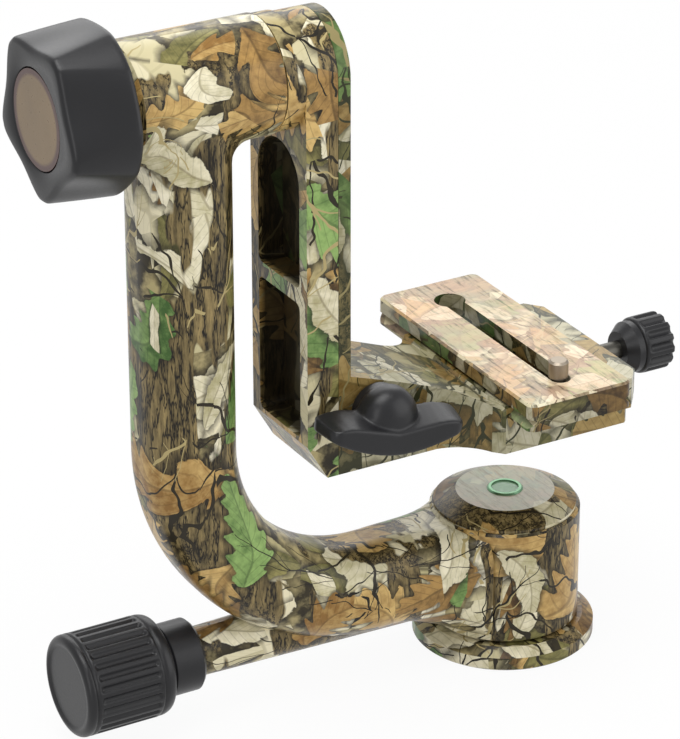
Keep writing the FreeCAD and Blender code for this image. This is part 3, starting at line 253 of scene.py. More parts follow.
edge_raggedness = 0.13
lobe_slant, side_rib_slant = -0.55, -0.85
rib_core, rib_edge = 0.012, 0.035
side_ribs, side_rib_width, side_rib_strength = 5.0, 0.13, 0.55
shadow_reach, midrib_blend, lit_share = 0.2, 0.03, 0.35
leaves, take, give = shader_group(
    "printed leaves",
    stamp_inputs + (("Width", 0.4), ("Lobes", 3.0), ("Lobe Depth", 0.4)),
    ("Mask", "Shadow", "Ribs", "Tone"))
stamp = stamped(leaves, take)
ragged = calc(leaves, "SUBTRACT", cloud(leaves, take["Place"], 0.55, 4.0), 0.5)
bent = calc(leaves, "MULTIPLY_ADD", calc(leaves, "POWER", stamp["Along"], 2.0),
            calc(leaves, "SUBTRACT", stamp["Tone"], 0.5), stamp["Across"])
side = calc(leaves, "ABSOLUTE", bent)
round_end = calc(leaves, "SQRT", calc(leaves, "MAXIMUM", calc(
    leaves, "SUBTRACT", 1.0, calc(leaves, "POWER", stamp["Along"], 2.0)), 0.0))
slanted = calc(leaves, "MULTIPLY_ADD", side, lobe_slant, stamp["Along"])
wave = calc(leaves, "COSINE", calc(leaves, "MULTIPLY", slanted, calc(
    leaves, "MULTIPLY", take["Lobes"], math.pi)))
lobed = calc(leaves, "MULTIPLY_ADD", calc(leaves, "MULTIPLY_ADD", wave, 0.5, -0.5),
             take["Lobe Depth"], 1.0)
half = calc(leaves, "MULTIPLY", calc(leaves, "MULTIPLY", round_end, take["Width"]), lobed)
inside = calc(leaves, "ADD", calc(leaves, "SUBTRACT", half, side),
              calc(leaves, "MULTIPLY", ragged, edge_raggedness))
rib = calc(leaves, "SUBTRACT", 1.0, fade(leaves, side, rib_core, rib_edge))
side_rib = calc(leaves, "LESS_THAN", calc(leaves, "FRACT", calc(leaves, "MULTIPLY", calc(
    leaves, "MULTIPLY_ADD", side, side_rib_slant, stamp["Along"]), side_ribs)), side_rib_width)
for label, low, high in (("Mask", 0.0, 0.02), ("Shadow", -shadow_reach, 0.0)):
    leaves.links.new(calc(leaves, "MULTIPLY", fade(leaves, inside, low, high), stamp["Present"]),
                     give[label])
leaves.links.new(calc(leaves, "MAXIMUM", rib, calc(leaves, "MULTIPLY", side_rib, side_rib_strength)),
                 give["Ribs"])
lit_half = fade(leaves, bent, -midrib_blend, midrib_blend)
leaves.links.new(calc(leaves, "MULTIPLY_ADD", lit_half, lit_share, calc(
    leaves, "MULTIPLY", stamp["Tone"], 1 - lit_share)), give["Tone"])

crook_depth, stem_end = 0.42, 1.05
spur_slant, spurs, spur_thickness = -1.5, 1.7, 1.5
spur_length, spur_shortening = 0.32, -0.3
twigs, take, give = shader_group("printed twigs", stamp_inputs + (("Thickness", 0.03),), ("Mask",))
stamp = stamped(twigs, take)
crook = calc(twigs, "MULTIPLY", calc(
    twigs, "SUBTRACT", cloud(twigs, take["Place"], 0.06, 2.0), 0.5), crook_depth)
side = calc(twigs, "ABSOLUTE", calc(twigs, "ADD", stamp["Across"], crook))
taper = calc(twigs, "MULTIPLY", calc(twigs, "SUBTRACT", stem_end, stamp["Along"], clamp=True),
             take["Thickness"])
stem = calc(twigs, "GREATER_THAN", taper, side)
spur = calc(twigs, "ABSOLUTE", calc(twigs, "SUBTRACT", calc(twigs, "FRACT", calc(
    twigs, "MULTIPLY", calc(twigs, "MULTIPLY_ADD", side, spur_slant, stamp["Along"]), spurs)), 0.5))
spur_width = calc(twigs, "MULTIPLY", taper, spur_thickness)
spur_end = calc(twigs, "MULTIPLY_ADD", stamp["Along"], spur_shortening, spur_length)
spur = calc(twigs, "MULTIPLY", calc(twigs, "LESS_THAN", spur, spur_width),
            calc(twigs, "LESS_THAN", side, spur_end))
within = calc(twigs, "LESS_THAN", calc(twigs, "ABSOLUTE", stamp["Along"]), 1.0)
drawn = calc(twigs, "MULTIPLY", calc(twigs, "MAXIMUM", stem, spur), within)
twigs.links.new(calc(twigs, "MULTIPLY", drawn, stamp["Present"]), give["Mask"])

bark_upright = (1.0, 1.0, 0.14)
pale_shadow, pale_ribs = 0.7, 0.25
woodland, take, give = shader_group(
    "woodland print", on_surface + (("Bark Run", bark_upright),), ("Color", "Roughness"))
place, facing = take["Place"], take["Facing"]
run = aim(woodland, "MULTIPLY", place, take["Bark Run"])
ground = over(woodland, fade(woodland, cloud(woodland, place, 0.1, 4.0), 0.4, 0.58),
              srgb(172, 158, 112), srgb(48, 41, 22))
pale = placed(woodland, leaves, Place=place, Facing=facing, Shift=(61.0, 13.0, 37.0), Spacing=23.0,
              Reach=16.0, Share=0.85, Width=0.46, Lobes=2.0, Lobe_Depth=0.12)
paint = over(woodland, calc(woodland, "MULTIPLY", pale["Shadow"], pale_shadow),
             ground, srgb(30, 25, 12))
leaf_tone = over(woodland, pale["Tone"], srgb(232, 223, 192), srgb(176, 166, 120))
leaf_tone = over(woodland, calc(woodland, "MULTIPLY", pale["Ribs"], pale_ribs),
                 leaf_tone, srgb(112, 100, 66))
paint = over(woodland, pale["Mask"], paint, leaf_tone)

layer_shadow, layer_ribs = 0.75, 0.5
mottle_depth, mottle_start, leaf_difference = 1.8, 0.85, 0.8


def printed_layer(paint, shift, spacing, reach, share, width, lobes, depth, light, dark, rib_tone):
    """Leaves of one kind over what is printed so far, each with a soft shadow round it."""
    print_of = placed(woodland, leaves, Place=place, Facing=facing, Shift=shift, Spacing=spacing,
                      Reach=reach, Share=share, Width=width, Lobes=lobes, Lobe_Depth=depth)
    paint = over(woodland, calc(woodland, "MULTIPLY", print_of["Shadow"], layer_shadow),
                 paint, srgb(22, 16, 7))
    own_tone = calc(woodland, "MULTIPLY", print_of["Tone"], leaf_difference)
    mottled = calc(woodland, "MULTIPLY_ADD", cloud(woodland, place, 0.3, 4.0), mottle_depth,
                   calc(woodland, "SUBTRACT", own_tone, mottle_start))
    leaf_tone = over(woodland, fade(woodland, mottled, 0.0, 1.0), srgb(*light), srgb(*dark))
    leaf_tone = over(woodland, calc(woodland, "MULTIPLY", print_of["Ribs"], layer_ribs),
                     leaf_tone, srgb(*rib_tone))
    return over(woodland, print_of["Mask"], paint, leaf_tone)


# Olive and cream leaves lie under the bark.
for layer in (
        ((91.0, 7.0, 33.0), 25.0, 15.0, 0.45, 0.46, 3.0, 0.15,
         (150, 142, 86), (78, 76, 38), (48, 46, 22)),
        ((17.0, 71.0, 5.0), 28.0, 16.0, 0.55, 0.5, 4.0, 0.18,
         (238, 230, 204), (188, 180, 140), (112, 98, 62))):
    paint = printed_layer(paint, *layer)

strand_dark, strand_light = 0.34, 0.68
crack_core, crack_edge = 0.008, 0.045
patch_from, patch_full = 0.512, 0.522
strands = cloud(woodland, run, 0.42, 6.0, 0.72)
cracks = calc(woodland, "ABSOLUTE", calc(
    woodland, "SUBTRACT", cloud(woodland, run, 0.3, 4.0, 0.7), 0.5))
bark = over(woodland, fade(woodland, strands, strand_dark, strand_light),
            srgb(34, 28, 14), srgb(154, 134, 88))
bark = over(woodland, calc(woodland, "SUBTRACT", 1.0, fade(woodland, cracks, crack_core, crack_edge)),
            bark, srgb(16, 12, 6))
bark_patches = cloud(woodland, aim(woodland, "MULTIPLY", place, (1.0, 1.0, 0.3)), 0.045, 3.0, 0.5)
barked = fade(woodland, bark_patches, patch_from, patch_full)
paint = over(woodland, barked, paint, bark)

# Tan, brown, green and cream leaves lie over it.
for layer in (
        ((5.0, 29.0, 83.0), 31.0, 17.0, 0.44, 0.62, 5.0, 0.5,
         (206, 174, 110), (134, 98, 46), (84, 56, 20)),
        ((43.0, 57.0, 21.0), 37.0, 16.0, 0.32, 0.58, 5.0, 0.55,
         (172, 136, 78), (82, 58, 28), (50, 34, 14)),
        ((77.0, 3.0, 51.0), 45.0, 21.0, 0.42, 0.58, 6.0, 0.32,
         (142, 172, 100), (60, 92, 40), (38, 60, 24)),
        ((29.0, 41.0, 9.0), 36.0, 15.0, 0.3, 0.44, 3.0, 0.2,
         (232, 224, 196), (170, 162, 122), (104, 92, 58))):
    paint = printed_layer(paint, *layer)

for shift, spacing, reach, share, thick, tint in (
        ((31.0, 47.0, 67.0), 50.0, 40.0, 0.8, 0.017, (38, 32, 18)),
        ((53.0, 19.0, 39.0), 58.0, 36.0, 0.4, 0.016, (170, 154, 106)),
        ((9.0, 88.0, 14.0), 42.0, 30.0, 0.5, 0.013, (26, 21, 11))):
    twig = placed(woodland, twigs, Place=place, Facing=facing, Shift=shift, Spacing=spacing,
                  Reach=reach, Share=share, Thickness=thick)
    paint = over(woodland, twig["Mask"], paint, srgb(*tint))
woodland.links.new(paint, give["Color"])
woodland.links.new(calc(woodland, "MULTIPLY_ADD", cloud(woodland, place, 0.8, 3.0), 0.12, 0.27),
                   give["Roughness"])


def lacquered_print(name, bark_run=bark_upright, slide=(0.0, 0.0, 0.0), tint=None):
    """The print under its lacquer; slide shifts it in millimetres, so that no two castings match."""
    material = bpy.data.materials.new(name)
    material.use_nodes = True
    tree = material.node_tree
    shader = tree.nodes["Principled BSDF"]
    source = tree.nodes.new("ShaderNodeTexCoord").outputs
    place = aim(tree, "MULTIPLY_ADD", source["Object"], metres_to_mm, slide)
    printed = placed(tree, woodland, Place=place, Facing=source["Normal"], Bark_Run=bark_run)
    colour = printed["Color"]
    if tint:
        colour = tint(tree, source, colour)
    tree.links.new(colour, shader.inputs["Base Color"])
    tree.links.new(printed["Roughness"], shader.inputs["Roughness"])
    shader.inputs["Specular IOR Level"].default_value = 0.2
    shader.inputs["Coat Weight"].default_value = 0.14
    shader.inputs["Coat Roughness"].default_value = 0.16
    return material


def finish_nodes(material, *names):
    """One material on all faces of the named solids."""
    for name in names:
        for held in nodes[name].material_slots:
            held.material = material


# ---------------------------------------------------------------- base flange and J arm
# The turned flange takes the tripod screw. The arm turns on it and is one aluminium casting: hub,
# bend, upright, tilt tube and the boss of the pan lock.
finish_nodes(lacquered_print("woodland lacquer arm"), "base_flange", "j_arm")


# ---------------------------------------------------------------- hub cap
# A turned aluminium cap over the spindle nut. Its flat top is machined and takes the print only
# thinly, so it stays pale; the bevel round it is printed in full.
grey = (0.5, 0.5, 0.5, 1.0)
pale_top, take, give = shader_group(
    "pale machined top",
    (("Color", grey), ("Place", (0.0, 0.0, 0.0)), ("Facing", (0.0, 0.0, 1.0)), ("From", 0.5),
     ("To", 0.9), ("Share", 0.5), ("Shade", 0.0), ("Cool", grey), ("Warm", grey), ("Streak", grey)),
    ("Color",))
brushed = aim(pale_top, "MULTIPLY", take["Place"], (700.0, 90.0, 300.0))
pale = over(pale_top, fade(pale_top, cloud(pale_top, take["Place"], 34.0, 3.0), 0.42, 0.58),
            take["Cool"], take["Warm"])
pale = over(pale_top, fade(pale_top, cloud(pale_top, brushed, 1.0, 4.0, 0.65), 0.5, 0.66),
            pale, take["Streak"])
up = step(pale_top, "ShaderNodeSeparateXYZ", take["Facing"]).outputs[2]
# Faces that do not turn up are darkened towards dark brown by Shade: painted shade on the sides.
painted_side_shade = calc(pale_top, "MULTIPLY", calc(pale_top, "LESS_THAN", up, 0.4), take["Shade"])
shaded = over(pale_top, painted_side_shade, take["Color"], srgb(34, 28, 16))
thin = calc(pale_top, "MULTIPLY", fade(pale_top, up, take["From"], take["To"]), take["Share"])
pale_top.links.new(over(pale_top, thin, shaded, pale), give["Color"])


def paled(**values):
    """Pale metal through the print on faces turned up, and painted shade on the faces that do not."""
    def tint(tree, source, colour):
        return placed(tree, pale_top, Color=colour, Place=source["Object"],
                      Facing=source["Normal"], **values)["Color"]
    return tint


finish_nodes(lacquered_print("woodland lacquer cap", slide=(12.0, 35.0, 0.0), tint=paled(
    From=0.972, To=0.992, Share=0.7, Cool=srgb(224, 231, 212), Warm=srgb(240, 226, 212),
    Streak=srgb(194, 189, 168))), "hub_cap")


# ---------------------------------------------------------------- swing arm
# A cast aluminium bar with two deep pockets that lighten it, screwed on the tilt shaft. Inside
# the pockets the print is darkened towards near black as painted shade.
pocket_half_width = 0.01306
pocket_mouth_x, pocket_full_shade_x, pocket_floor_x = -0.0834, -0.0812, -0.0746
pocket_bottom_z, pocket_top_z = 0.0963, 0.1925
pocket_shade_strength = 0.9


def shaded_pockets(tree, source, colour):
    """A tint that paints shade over the print inside the two pockets."""
    axis = step(tree, "ShaderNodeSeparateXYZ", source["Object"]).outputs
    across = calc(tree, "LESS_THAN", calc(tree, "ABSOLUTE", axis[1]), pocket_half_width)
    deep = calc(tree, "MULTIPLY", fade(tree, axis[0], pocket_mouth_x, pocket_full_shade_x),
                calc(tree, "LESS_THAN", axis[0], pocket_floor_x))
    height = calc(tree, "MULTIPLY", calc(tree, "LESS_THAN", axis[2], pocket_top_z),
                  calc(tree, "GREATER_THAN", axis[2], pocket_bottom_z))
    pocket = calc(tree, "MULTIPLY", calc(tree, "MULTIPLY", across, deep), height)
    # Painted shade: inside the pockets the print is mixed towards near black.
    return over(tree, calc(tree, "MULTIPLY", pocket, pocket_shade_strength), colour, srgb(22, 18, 12))


finish_nodes(lacquered_print("woodland lacquer swing arm", slide=(15.0, 64.0, 31.0),
                             tint=shaded_pockets), "swing_arm")


# ---------------------------------------------------------------- platform bracket and clamp
# The aluminium bracket slides on the bar and has the clamp bolted on its shelf. The clamp's fixed
# lip is one with its base. Bracket, base and jaw have a darker, greener print.
green_share = 0.42


def deepened(tree, source, colour):
    """A tint that makes the print darker and greener."""
    return over(tree, green_share, colour, srgb(58, 64, 32))


finish_nodes(lacquered_print("woodland lacquer bracket", (1.0, 0.2, 0.6), (40.0, 22.0, 8.0), deepened),
             "platform_bracket", "clamp_base", "moving_jaw")


# ---------------------------------------------------------------- camera plate
# The dovetail plate is milled from aluminium, slides in the clamp and takes the camera on its
# screw. It has the same print, paler and warmer on its machined top, with painted shade on the
# faces that do not turn up.
finish_nodes(lacquered_print("woodland lacquer plate", (0.3, 1.0, 1.0), (3.0, 51.0, 77.0),
                             paled(Share=0.52, Shade=0.42, Cool=srgb(206, 198, 168),
                                   Warm=srgb(226, 188, 156), Streak=srgb(104, 88, 60))),
             "camera_plate")


# ---------------------------------------------------------------- steel, bronze and acetal inside
# Turned spindle, shafts, nuts and screws, with bushes of bronze and washers of acetal, pressed
# or screwed into the castings.
fine_along_x = (4000.0, 300.0, 300.0)
metal_shade, metal_spread = 0.8, 0.2
turning, take, give = shader_group("turning marks", (("Place", (0.0, 0.0, 0.0)),), ("Marks",))
ringed = aim(turning, "MULTIPLY", take["Place"], fine_along_x)
turning.links.new(cloud(turning, ringed, 1.0, 3.0), give["Marks"])


def turned_metal(name, colour, roughness):
    """Bare metal with the fine rings that turning leaves along x."""
    material = bpy.data.materials.new(name)
    material.use_nodes = True
    tree = material.node_tree
    shader = tree.nodes["Principled BSDF"]
    place = tree.nodes.new("ShaderNodeTexCoord").outputs["Object"]
    marks = placed(tree, turning, Place=place)["Marks"]
    shader.inputs["Metallic"].default_value = 1.0
    shade = tuple(c * metal_shade for c in colour[:3]) + (1,)
    tree.links.new(over(tree, marks, shade, colour), shader.inputs["Base Color"])
    tree.links.new(calc(tree, "MULTIPLY_ADD", marks, metal_spread, roughness - metal_spread / 2),
                   shader.inputs["Roughness"])
    return material


finish_nodes(turned_metal("turned steel", srgb(196, 196, 198), 0.3),
             "pan_spindle", "base_screws", "spindle_nut", "tilt_knob_screw", "tilt_brake_disc",
             "pan_lock_rod", "tilt_shaft", "shaft_nut", "shaft_screw", "clamp_bolts",
             "jaw_guide_pins", "height_lock_cam", "camera_screw_washer", "tilt_end_cap")
finish_nodes(turned_metal("blackened steel", srgb(92, 90, 84), 0.38), "clamp_screw")
finish_nodes(turned_metal("bush bronze", srgb(178, 134, 78), 0.35),
             "lower_pan_bush", "upper_pan_bush", "left_tilt_bush", "right_tilt_bush",
             "pan_brake_shoe", "height_lock_pad")
finish_nodes(turned_metal("camera screw steel", srgb(158, 147, 132), 0.45), "camera_screw")


grain_spread, grain_strength, grain_height = 0.16, 0.12, 0.0002
grained, take, give = shader_group(
    "moulded grain", (("Place", (0.0, 0.0, 0.0)), ("Grain", 900.0)), ("Speckle", "Drift"))
grained.links.new(cloud(grained, take["Place"], take["Grain"], 4.0, 0.65), give["Speckle"])
grained.links.new(cloud(grained, take["Place"], 45.0, 2.0), give["Drift"])


def moulded(name, light, dark, roughness, grain):
    """A finish that drifts between two shades, with a fine raised grain."""
    material = bpy.data.materials.new(name)
    material.use_nodes = True
    tree = material.node_tree
    shader = tree.nodes["Principled BSDF"]
    place = tree.nodes.new("ShaderNodeTexCoord").outputs["Object"]
    grains = placed(tree, grained, Place=place, Grain=grain)
    tree.links.new(over(tree, grains["Drift"], dark, light), shader.inputs["Base Color"])
    tree.links.new(calc(tree, "MULTIPLY_ADD", grains["Speckle"], grain_spread,
                        roughness - grain_spread / 2), shader.inputs["Roughness"])
    bump = step(tree, "ShaderNodeBump", grain_strength, grain_height, None, grains["Speckle"])
    tree.links.new(bump.outputs[0], shader.inputs["Normal"])
    return material


finish_nodes(moulded("white acetal", srgb(236, 234, 226), srgb(220, 218, 208), 0.45, 900.0),
             "thrust_washer", "top_thrust_washer")
finish_nodes(moulded("brake lining", srgb(58, 52, 46), srgb(40, 36, 32), 0.8, 1500.0),
             "tilt_brake_lining")


# ---------------------------------------------------------------- bullseye level
# A round vial let into the hub cap: a green metal ring with green fluid and its bubble in it,
# closed by a lens. Fluid and lens are green, and their paleness is partly painted light that
# lifts the shade in the vial.
finish_nodes(turned_metal("level ring", srgb(118, 156, 124), 0.34), "level_housing")
# The fluid's green is its own; how pale it is, is partly painted light.
finish_nodes(moulded("green fluid", srgb(184, 248, 196), srgb(150, 232, 170), 0.12, 300.0),
             "level_fluid")
finish_nodes(moulded("level bubble", srgb(226, 250, 226), srgb(206, 242, 208), 0.1, 300.0),
             "level_bubble")
# The lens is a half-opaque pale green sheet: painted light over the shaded vial, wavering by noise.
lens_opacity, lens_opacity_spread = 0.56, 0.12
lens_glass = bpy.data.materials.new("level lens")
lens_glass.use_nodes = True
lens_tree = lens_glass.node_tree
lens_shader = lens_tree.nodes["Principled BSDF"]
lens_shader.inputs["Base Color"].default_value = srgb(190, 240, 200)
lens_shader.inputs["Roughness"].default_value = 0.05
lens_place = lens_tree.nodes.new("ShaderNodeTexCoord").outputs["Object"]
lens_opacity_noise = cloud(lens_tree, lens_place, 500.0, 3.0)
lens_tree.links.new(calc(lens_tree, "MULTIPLY_ADD", lens_opacity_noise, lens_opacity_spread, lens_opacity),
                    lens_shader.inputs["Alpha"])
finish_nodes(lens_glass, "level_lens")


# ---------------------------------------------------------------- black moulded knobs
# The four knobs are glass filled nylon with a fine moulded grain, fixed on their screws and rods.
# The sleeve on the arm and the collar behind the clamp knob are of the same nylon.
black_nylon = moulded("black nylon", srgb(31, 31, 33), srgb(23, 23, 25), 0.35, 1400.0)
black_nylon.node_tree.nodes["Principled BSDF"].inputs["Specular IOR Level"].default_value = 0.32
finish_nodes(black_nylon, "pan_lock_sleeve", "clamp_knob_collar")


def write_knob(name, mesh, body, replaced):
    """The finished bmesh as a black nylon piece on its body, in place of a plainer CAD node."""
    bmesh.ops.remove_doubles(mesh, verts=mesh.verts, dist=1e-7)
    bmesh.ops.recalc_face_normals(mesh, faces=mesh.faces)
    for face in mesh.faces:
        face.smooth = True
    data = bpy.data.meshes.new(name)
    mesh.to_mesh(data)
    mesh.free()
    data.materials.append(black_nylon)
    piece = bpy.data.objects.new(name, data)
    bpy.context.collection.objects.link(piece)
    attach(piece, body)
    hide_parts(replaced)


def loft(mesh, rings):
    """A closed skin over rings of points, all with the same count and order."""
    verts = bmesh.ops.create_circle(mesh, segments=len(rings[0]), radius=1.0)["verts"]
    edges = [e for e in mesh.edges if e.verts[0] in verts]
    bmesh.ops.contextual_create(mesh, geom=edges)
    for v, point in zip(verts, rings[0]):
        v.co = point
    for ring in rings[1:]:
        grown = bmesh.ops.extrude_edge_only(mesh, edges=edges)["geom"]
        verts = [g for g in grown if isinstance(g, bmesh.types.BMVert)]
        edges = [g for g in grown if isinstance(g, bmesh.types.BMEdge)
                 and all(v in verts for v in g.verts)]
        for v, point in zip(verts, ring):
            v.co = point
    bmesh.ops.contextual_create(mesh, geom=edges)
    return mesh


def turned_loops(rings, radius_at, segments, axis_z):
    """A skin round an axis along x; radius_at shapes each ring (x, radius or inset) by its angle."""
    angles = [math.tau * i / segments for i in range(segments)]
    points = []
    for ring in rings:
        radii = [radius_at(angle, *ring) for angle in angles]
        points.append([Vector((ring[0], -r * math.cos(a), axis_z + r * math.sin(a)))
                       for r, a in zip(radii, angles)])
    return loft(bmesh.new(), points)


def rounded(x0, r0, x1, r1, count, outward):
    """Rings of a quarter round from (x0, r0) to (x1, r1), leaving x0 outward or along the axis."""
    made = []
    for i in range(1, count + 1):
        a = math.pi / 2 * i / count
        forward, across = 1 - math.cos(a), math.sin(a)
        if not outward:
            forward, across = across, forward
        made.append((x0 + (x1 - x0) * forward, r0 + (r1 - r0) * across))
    return made


# ---------------------------------------------------------------- tilt lock knob
# A big round nylon grip with five hollows, wide and deep at its front face and running out to the
# rear, moulded on the tilt lock screw. A bronze disc is let into its face.
tilt_axis_z = 0.2144
tilt_front, tilt_rear = -0.1634, -0.1412
tilt_front_radius, tilt_rear_growth = 0.0256, 0.0010
tilt_edge, largest_inset, tilt_segments = 0.0018, 0.005, 240
tilt_hollows, first_hollow = 5, math.radians(57.6)
hollow_depth, hollow_run_out, hollow_power = 0.0042, 0.0034, 1.35
hollow_reach, reach_run_out = 33, 12
disc_seat_depth, disc_seat_radius, disc_seat_edge = 0.0019, 0.0156, 0.0005
neck_radius, neck_end, neck_round = 0.0120, -0.1384, 0.0006


def tilt_radius(angle, x, inset):
    """Small insets follow the hollowed outline; a larger number is a plain radius."""
    if inset > largest_inset:
        return inset
    share = min(max((x - tilt_front) / (tilt_rear - tilt_front), 0), 1)
    pitch = math.tau / tilt_hollows
    off = abs((angle - first_hollow) % pitch - pitch / 2)
    reach = math.radians(hollow_reach - reach_run_out * share)
    dip = max(0, 1 - (off / reach) ** 2)
    hollow = (hollow_depth - hollow_run_out * share) * dip ** hollow_power
    return tilt_front_radius + tilt_rear_growth * share - hollow - inset


straight = tilt_rear - tilt_front - 2 * tilt_edge
tilt_rings = [(tilt_front + disc_seat_depth, disc_seat_radius),
              (tilt_front + disc_seat_edge, disc_seat_radius),
              (tilt_front, disc_seat_radius + disc_seat_edge)]
for i in range(7):
    a = math.pi / 2 * i / 6
    tilt_rings.append((tilt_front + tilt_edge * (1 - math.cos(a)), tilt_edge * (1 - math.sin(a))))
for i in range(1, 19):
    tilt_rings.append((tilt_front + tilt_edge + straight * i / 18, 0.0))
for i in range(1, 7):
    a = math.pi / 2 * i / 6
    tilt_rings.append((tilt_rear - tilt_edge * (1 - math.sin(a)), tilt_edge * (1 - math.cos(a))))
tilt_rings += [(tilt_rear, neck_radius + neck_round), (tilt_rear + neck_round, neck_radius),
               (neck_end, neck_radius)]
write_knob("tilt_lock_grip", turned_loops(tilt_rings, tilt_radius, tilt_segments, tilt_axis_z),
           "tilt_knob", "tilt_knob_grip")

rim_inside, rim_outside = 0.0128, 0.0140


def bronze_disc():
    """The disc in the knob's face: plain anodised bronze with a darker rim."""
    material = moulded("bronze disc", srgb(132, 108, 72), srgb(102, 82, 52), 0.3, 700.0)
    tree = material.node_tree
    shader = tree.nodes["Principled BSDF"]
    plain = shader.inputs["Base Color"].links[0].from_socket
    place = tree.nodes["Texture Coordinate"].outputs["Object"]
    from_axis = aim(tree, "SUBTRACT", place, (0.0, 0.0, tilt_axis_z))
    out = aim(tree, "LENGTH", aim(tree, "MULTIPLY", from_axis, (0.0, 1.0, 1.0)))
    rim = fade(tree, out, rim_inside, rim_outside)
    tree.links.new(over(tree, rim, plain, srgb(70, 38, 30)), shader.inputs["Base Color"])
    shader.inputs["Metallic"].default_value = 0.3
    return material


finish_nodes(bronze_disc(), "tilt_knob_disc")


# ---------------------------------------------------------------- pan lock knob
# A fluted cylinder with a rolled front rim, a groove behind it and a rear collar, pressed on
# the pan lock rod. The sleeve behind it stays on the arm.
rib_share, groove_power = 0.3, 0.7
flute_run_out, run_out_step, groove_wall = 0.0009, 0.0003, 0.0002


def fluted(count, depth, x0, x1):
    """Flutes from x0 to x1 with wide ribs between them; radii near the axis stay round."""
    def radius_at(angle, x, radius):
        wave = 0.5 - 0.5 * math.cos(angle * count)
        groove = min(1, max(0, (wave - rib_share) / (1 - rib_share))) ** groove_power
        run_out = min(1, max(0, (x - x0) / flute_run_out)) * min(1, max(0, (x1 - x) / flute_run_out))
        return radius - (depth * groove * run_out if radius > 0.5 * depth else 0)
    return radius_at


def turned_groove(x0, x1, before, floor, after):
    """Rings of a groove from x0 to x1, with the radii before it, in it and after it."""
    return [(x0, before), (x0 + groove_wall, floor), (x1 - groove_wall, floor), (x1, after)]


pan_axis_z = 0.023
pan_front, pan_dish, pan_rear = -0.1600, -0.1594, -0.1284
pan_body_from, pan_body_to = -0.1542, -0.1359
pan_radius, pan_groove_radius = 0.0165, 0.0160
collar_groove_radius, collar_radius = 0.0161, 0.0164
pan_flutes, pan_flute_depth, pan_flute_from, pan_flute_to = 28, 0.0009, -0.1556, -0.1345
pan_rings = [(pan_dish, 0.0126), (pan_dish, 0.0132), (pan_front, 0.0137)]
pan_rings += rounded(pan_front, 0.0143, -0.1579, pan_radius, 8, True)
pan_rings += turned_groove(-0.1573, -0.1565, pan_radius, pan_groove_radius, pan_radius)
pan_rings += [(pan_body_from - run_out_step * i, pan_radius) for i in range(5, -1, -1)]
pan_rings += [(pan_body_from + (pan_body_to - pan_body_from) * i / 12, pan_radius)
              for i in range(1, 13)]
pan_rings += [(pan_body_to + run_out_step * i, pan_radius) for i in range(1, 6)]
pan_rings += turned_groove(-0.1338, -0.1331, pan_radius, collar_groove_radius, collar_radius)
pan_rings += rounded(-0.1325, collar_radius, -0.1292, 0.0146, 9, False)
pan_rings += [(-0.1288, 0.0138), (pan_rear, 0.0134), (pan_rear, 0.0060)]
pan_outline = fluted(pan_flutes, pan_flute_depth, pan_flute_from, pan_flute_to)
write_knob("pan_lock_grip", turned_loops(pan_rings, pan_outline, 12 * pan_flutes, pan_axis_z),
           "pan_knob", "pan_knob_grip")


# ---------------------------------------------------------------- clamp knob
# A small nylon knob with coarse flutes and a dished end, pressed on the clamp screw in front of a
# stepped collar.
clamp_axis_z = 0.0916
clamp_rear, clamp_shoulder, clamp_crown = 0.0482, 0.0494, 0.0580
clamp_front, clamp_dish = 0.0594, 0.0590
clamp_radius, clamp_flutes, clamp_flute_depth = 0.0095, 13, 0.0011
clamp_rings = [(clamp_rear, 0.0040), (clamp_rear, 0.0076)]
clamp_rings += rounded(clamp_rear, 0.0082, clamp_shoulder, 0.0094, 5, True)
clamp_rings += [(clamp_shoulder + (clamp_crown - clamp_shoulder) * i / 12, clamp_radius)
                for i in range(1, 13)]
clamp_rings += rounded(clamp_crown, clamp_radius, clamp_front, 0.0081, 6, False)
clamp_rings += [(clamp_front, 0.0066), (clamp_dish, 0.0062), (clamp_dish, 0.0020)]
clamp_outline = fluted(clamp_flutes, clamp_flute_depth, clamp_shoulder, 0.0600)
clamp_skin = turned_loops(clamp_rings, clamp_outline, 16 * clamp_flutes, clamp_axis_z)
write_knob("clamp_knob_flutes", clamp_skin, "clamp_knob", "clamp_knob_grip")


# ---------------------------------------------------------------- height lock wing knob
# Moulded in one piece: a domed hub with two thumb wings that sweep up from its lower half. It
# turns the eccentric that clamps the bracket on the swing arm.
wing_place, wing_lean = (-0.060, 0, 0.104), math.radians(9)
wing_half_span, wing_front, wing_back = 0.0254, -0.0351, -0.0230
front_narrowing = 0.92
keel_depth, keel_rise, keel_power, back_keel_lift = 0.0097, 0.0060, 1.8, 0.0006
back_top, back_top_rise = 0.0018, 0.0012
front_top, front_top_rise = -0.0024, 0.0042
tip_fall, fall_from = 0.0022, 0.62
tip_middle, tip_spread, tip_rounding = 0.024, 0.0018, 0.0026
hub_rear, hub_neck_radius, hub_back, hub_back_edge = -0.0179, 0.0086, -0.0226, 0.0002
hub_radius, dome_start, dome_height = 0.0100, -0.0262, 0.0074


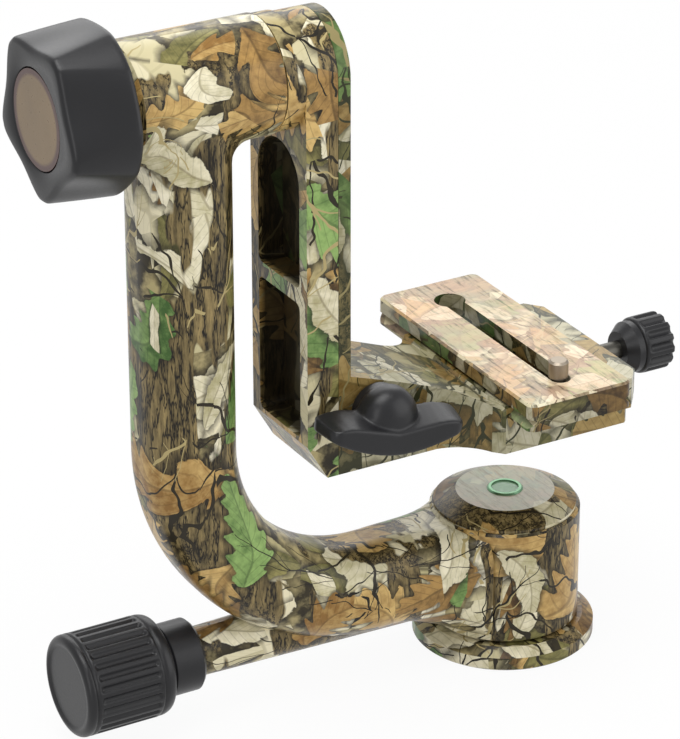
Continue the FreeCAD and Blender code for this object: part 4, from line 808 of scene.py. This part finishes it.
def wing_blank():
    """The two wings as one bar whose keel rises to the tips, and the domed hub through it."""
    sections = []
    for i in range(-8, 9):
        share = abs(i) / 8
        out = wing_half_span * i / 8
        front_out = out * front_narrowing
        keel = keel_rise * share ** keel_power - keel_depth
        tip_drop = tip_fall * max(0, share - fall_from) ** 2 / (1 - fall_from) ** 2
        back_edge = back_top + back_top_rise * share - tip_drop
        front_edge = front_top + front_top_rise * share - tip_drop
        sections.append([Vector((front_out, wing_front, keel)),
                         Vector((out, wing_back, keel + back_keel_lift)),
                         Vector((out, wing_back, back_edge)),
                         Vector((front_out, wing_front, front_edge))])
    mesh = loft(bmesh.new(), sections)
    # The upright edges at the tips are rounded.
    ends = []
    for edge in mesh.edges:
        first, second = (v.co for v in edge.verts)
        at_tip = abs(abs(first.x + second.x) / 2 - tip_middle) < tip_spread
        if at_tip and abs(first.y - second.y) < 1e-6 and abs(first.z - second.z) > 0.003:
            ends.append(edge)
    bmesh.ops.bevel(mesh, geom=ends, offset=tip_rounding, segments=5, profile=0.5,
                    affect="EDGES", material=-1)
    profile = [(hub_rear, 0.0), (hub_rear, hub_neck_radius), (hub_back, hub_neck_radius),
               (hub_back - hub_back_edge, hub_radius), (dome_start, hub_radius)]
    for i in range(1, 11):
        a = math.pi / 2 * i / 10
        profile.append((dome_start - dome_height * math.sin(a), hub_radius * math.cos(a)))
    line = [mesh.verts.new((0, y, r)) for y, r in profile]
    edges = [mesh.edges.new(pair) for pair in zip(line, line[1:])]
    bmesh.ops.spin(mesh, geom=line + edges, cent=(0, 0, 0), axis=(0, 1, 0), angle=math.tau,
                   steps=64, use_merge=True)
    bmesh.ops.remove_doubles(mesh, verts=mesh.verts, dist=1e-6)
    bmesh.ops.recalc_face_normals(mesh, faces=mesh.faces)
    return mesh


def fused(mesh):
    """One skin over pieces that cross each other, with the corners softened as a moulding's are."""
    data = bpy.data.meshes.new("wing blank")
    mesh.to_mesh(data)
    mesh.free()
    blank = bpy.data.objects.new("wing blank", data)
    bpy.context.collection.objects.link(blank)
    skin = blank.modifiers.new("skin", "REMESH")
    skin.mode = "VOXEL"
    skin.voxel_size = 0.00035
    soften = blank.modifiers.new("soften", "SMOOTH")
    soften.factor = 0.5
    soften.iterations = 40
    finished = blank.evaluated_get(bpy.context.evaluated_depsgraph_get())
    held = bpy.data.meshes.new_from_object(finished)
    smooth = bmesh.new()
    smooth.from_mesh(held)
    bpy.data.objects.remove(blank)
    bpy.data.meshes.remove(held)
    return smooth


wings = fused(wing_blank())
bmesh.ops.rotate(wings, verts=wings.verts, cent=(0, 0, 0),
                 matrix=Matrix.Rotation(wing_lean, 3, "Y"))
bmesh.ops.translate(wings, verts=wings.verts, vec=wing_place)
write_knob("height_lock_wings", wings, "height_knob", "height_knob_wing")
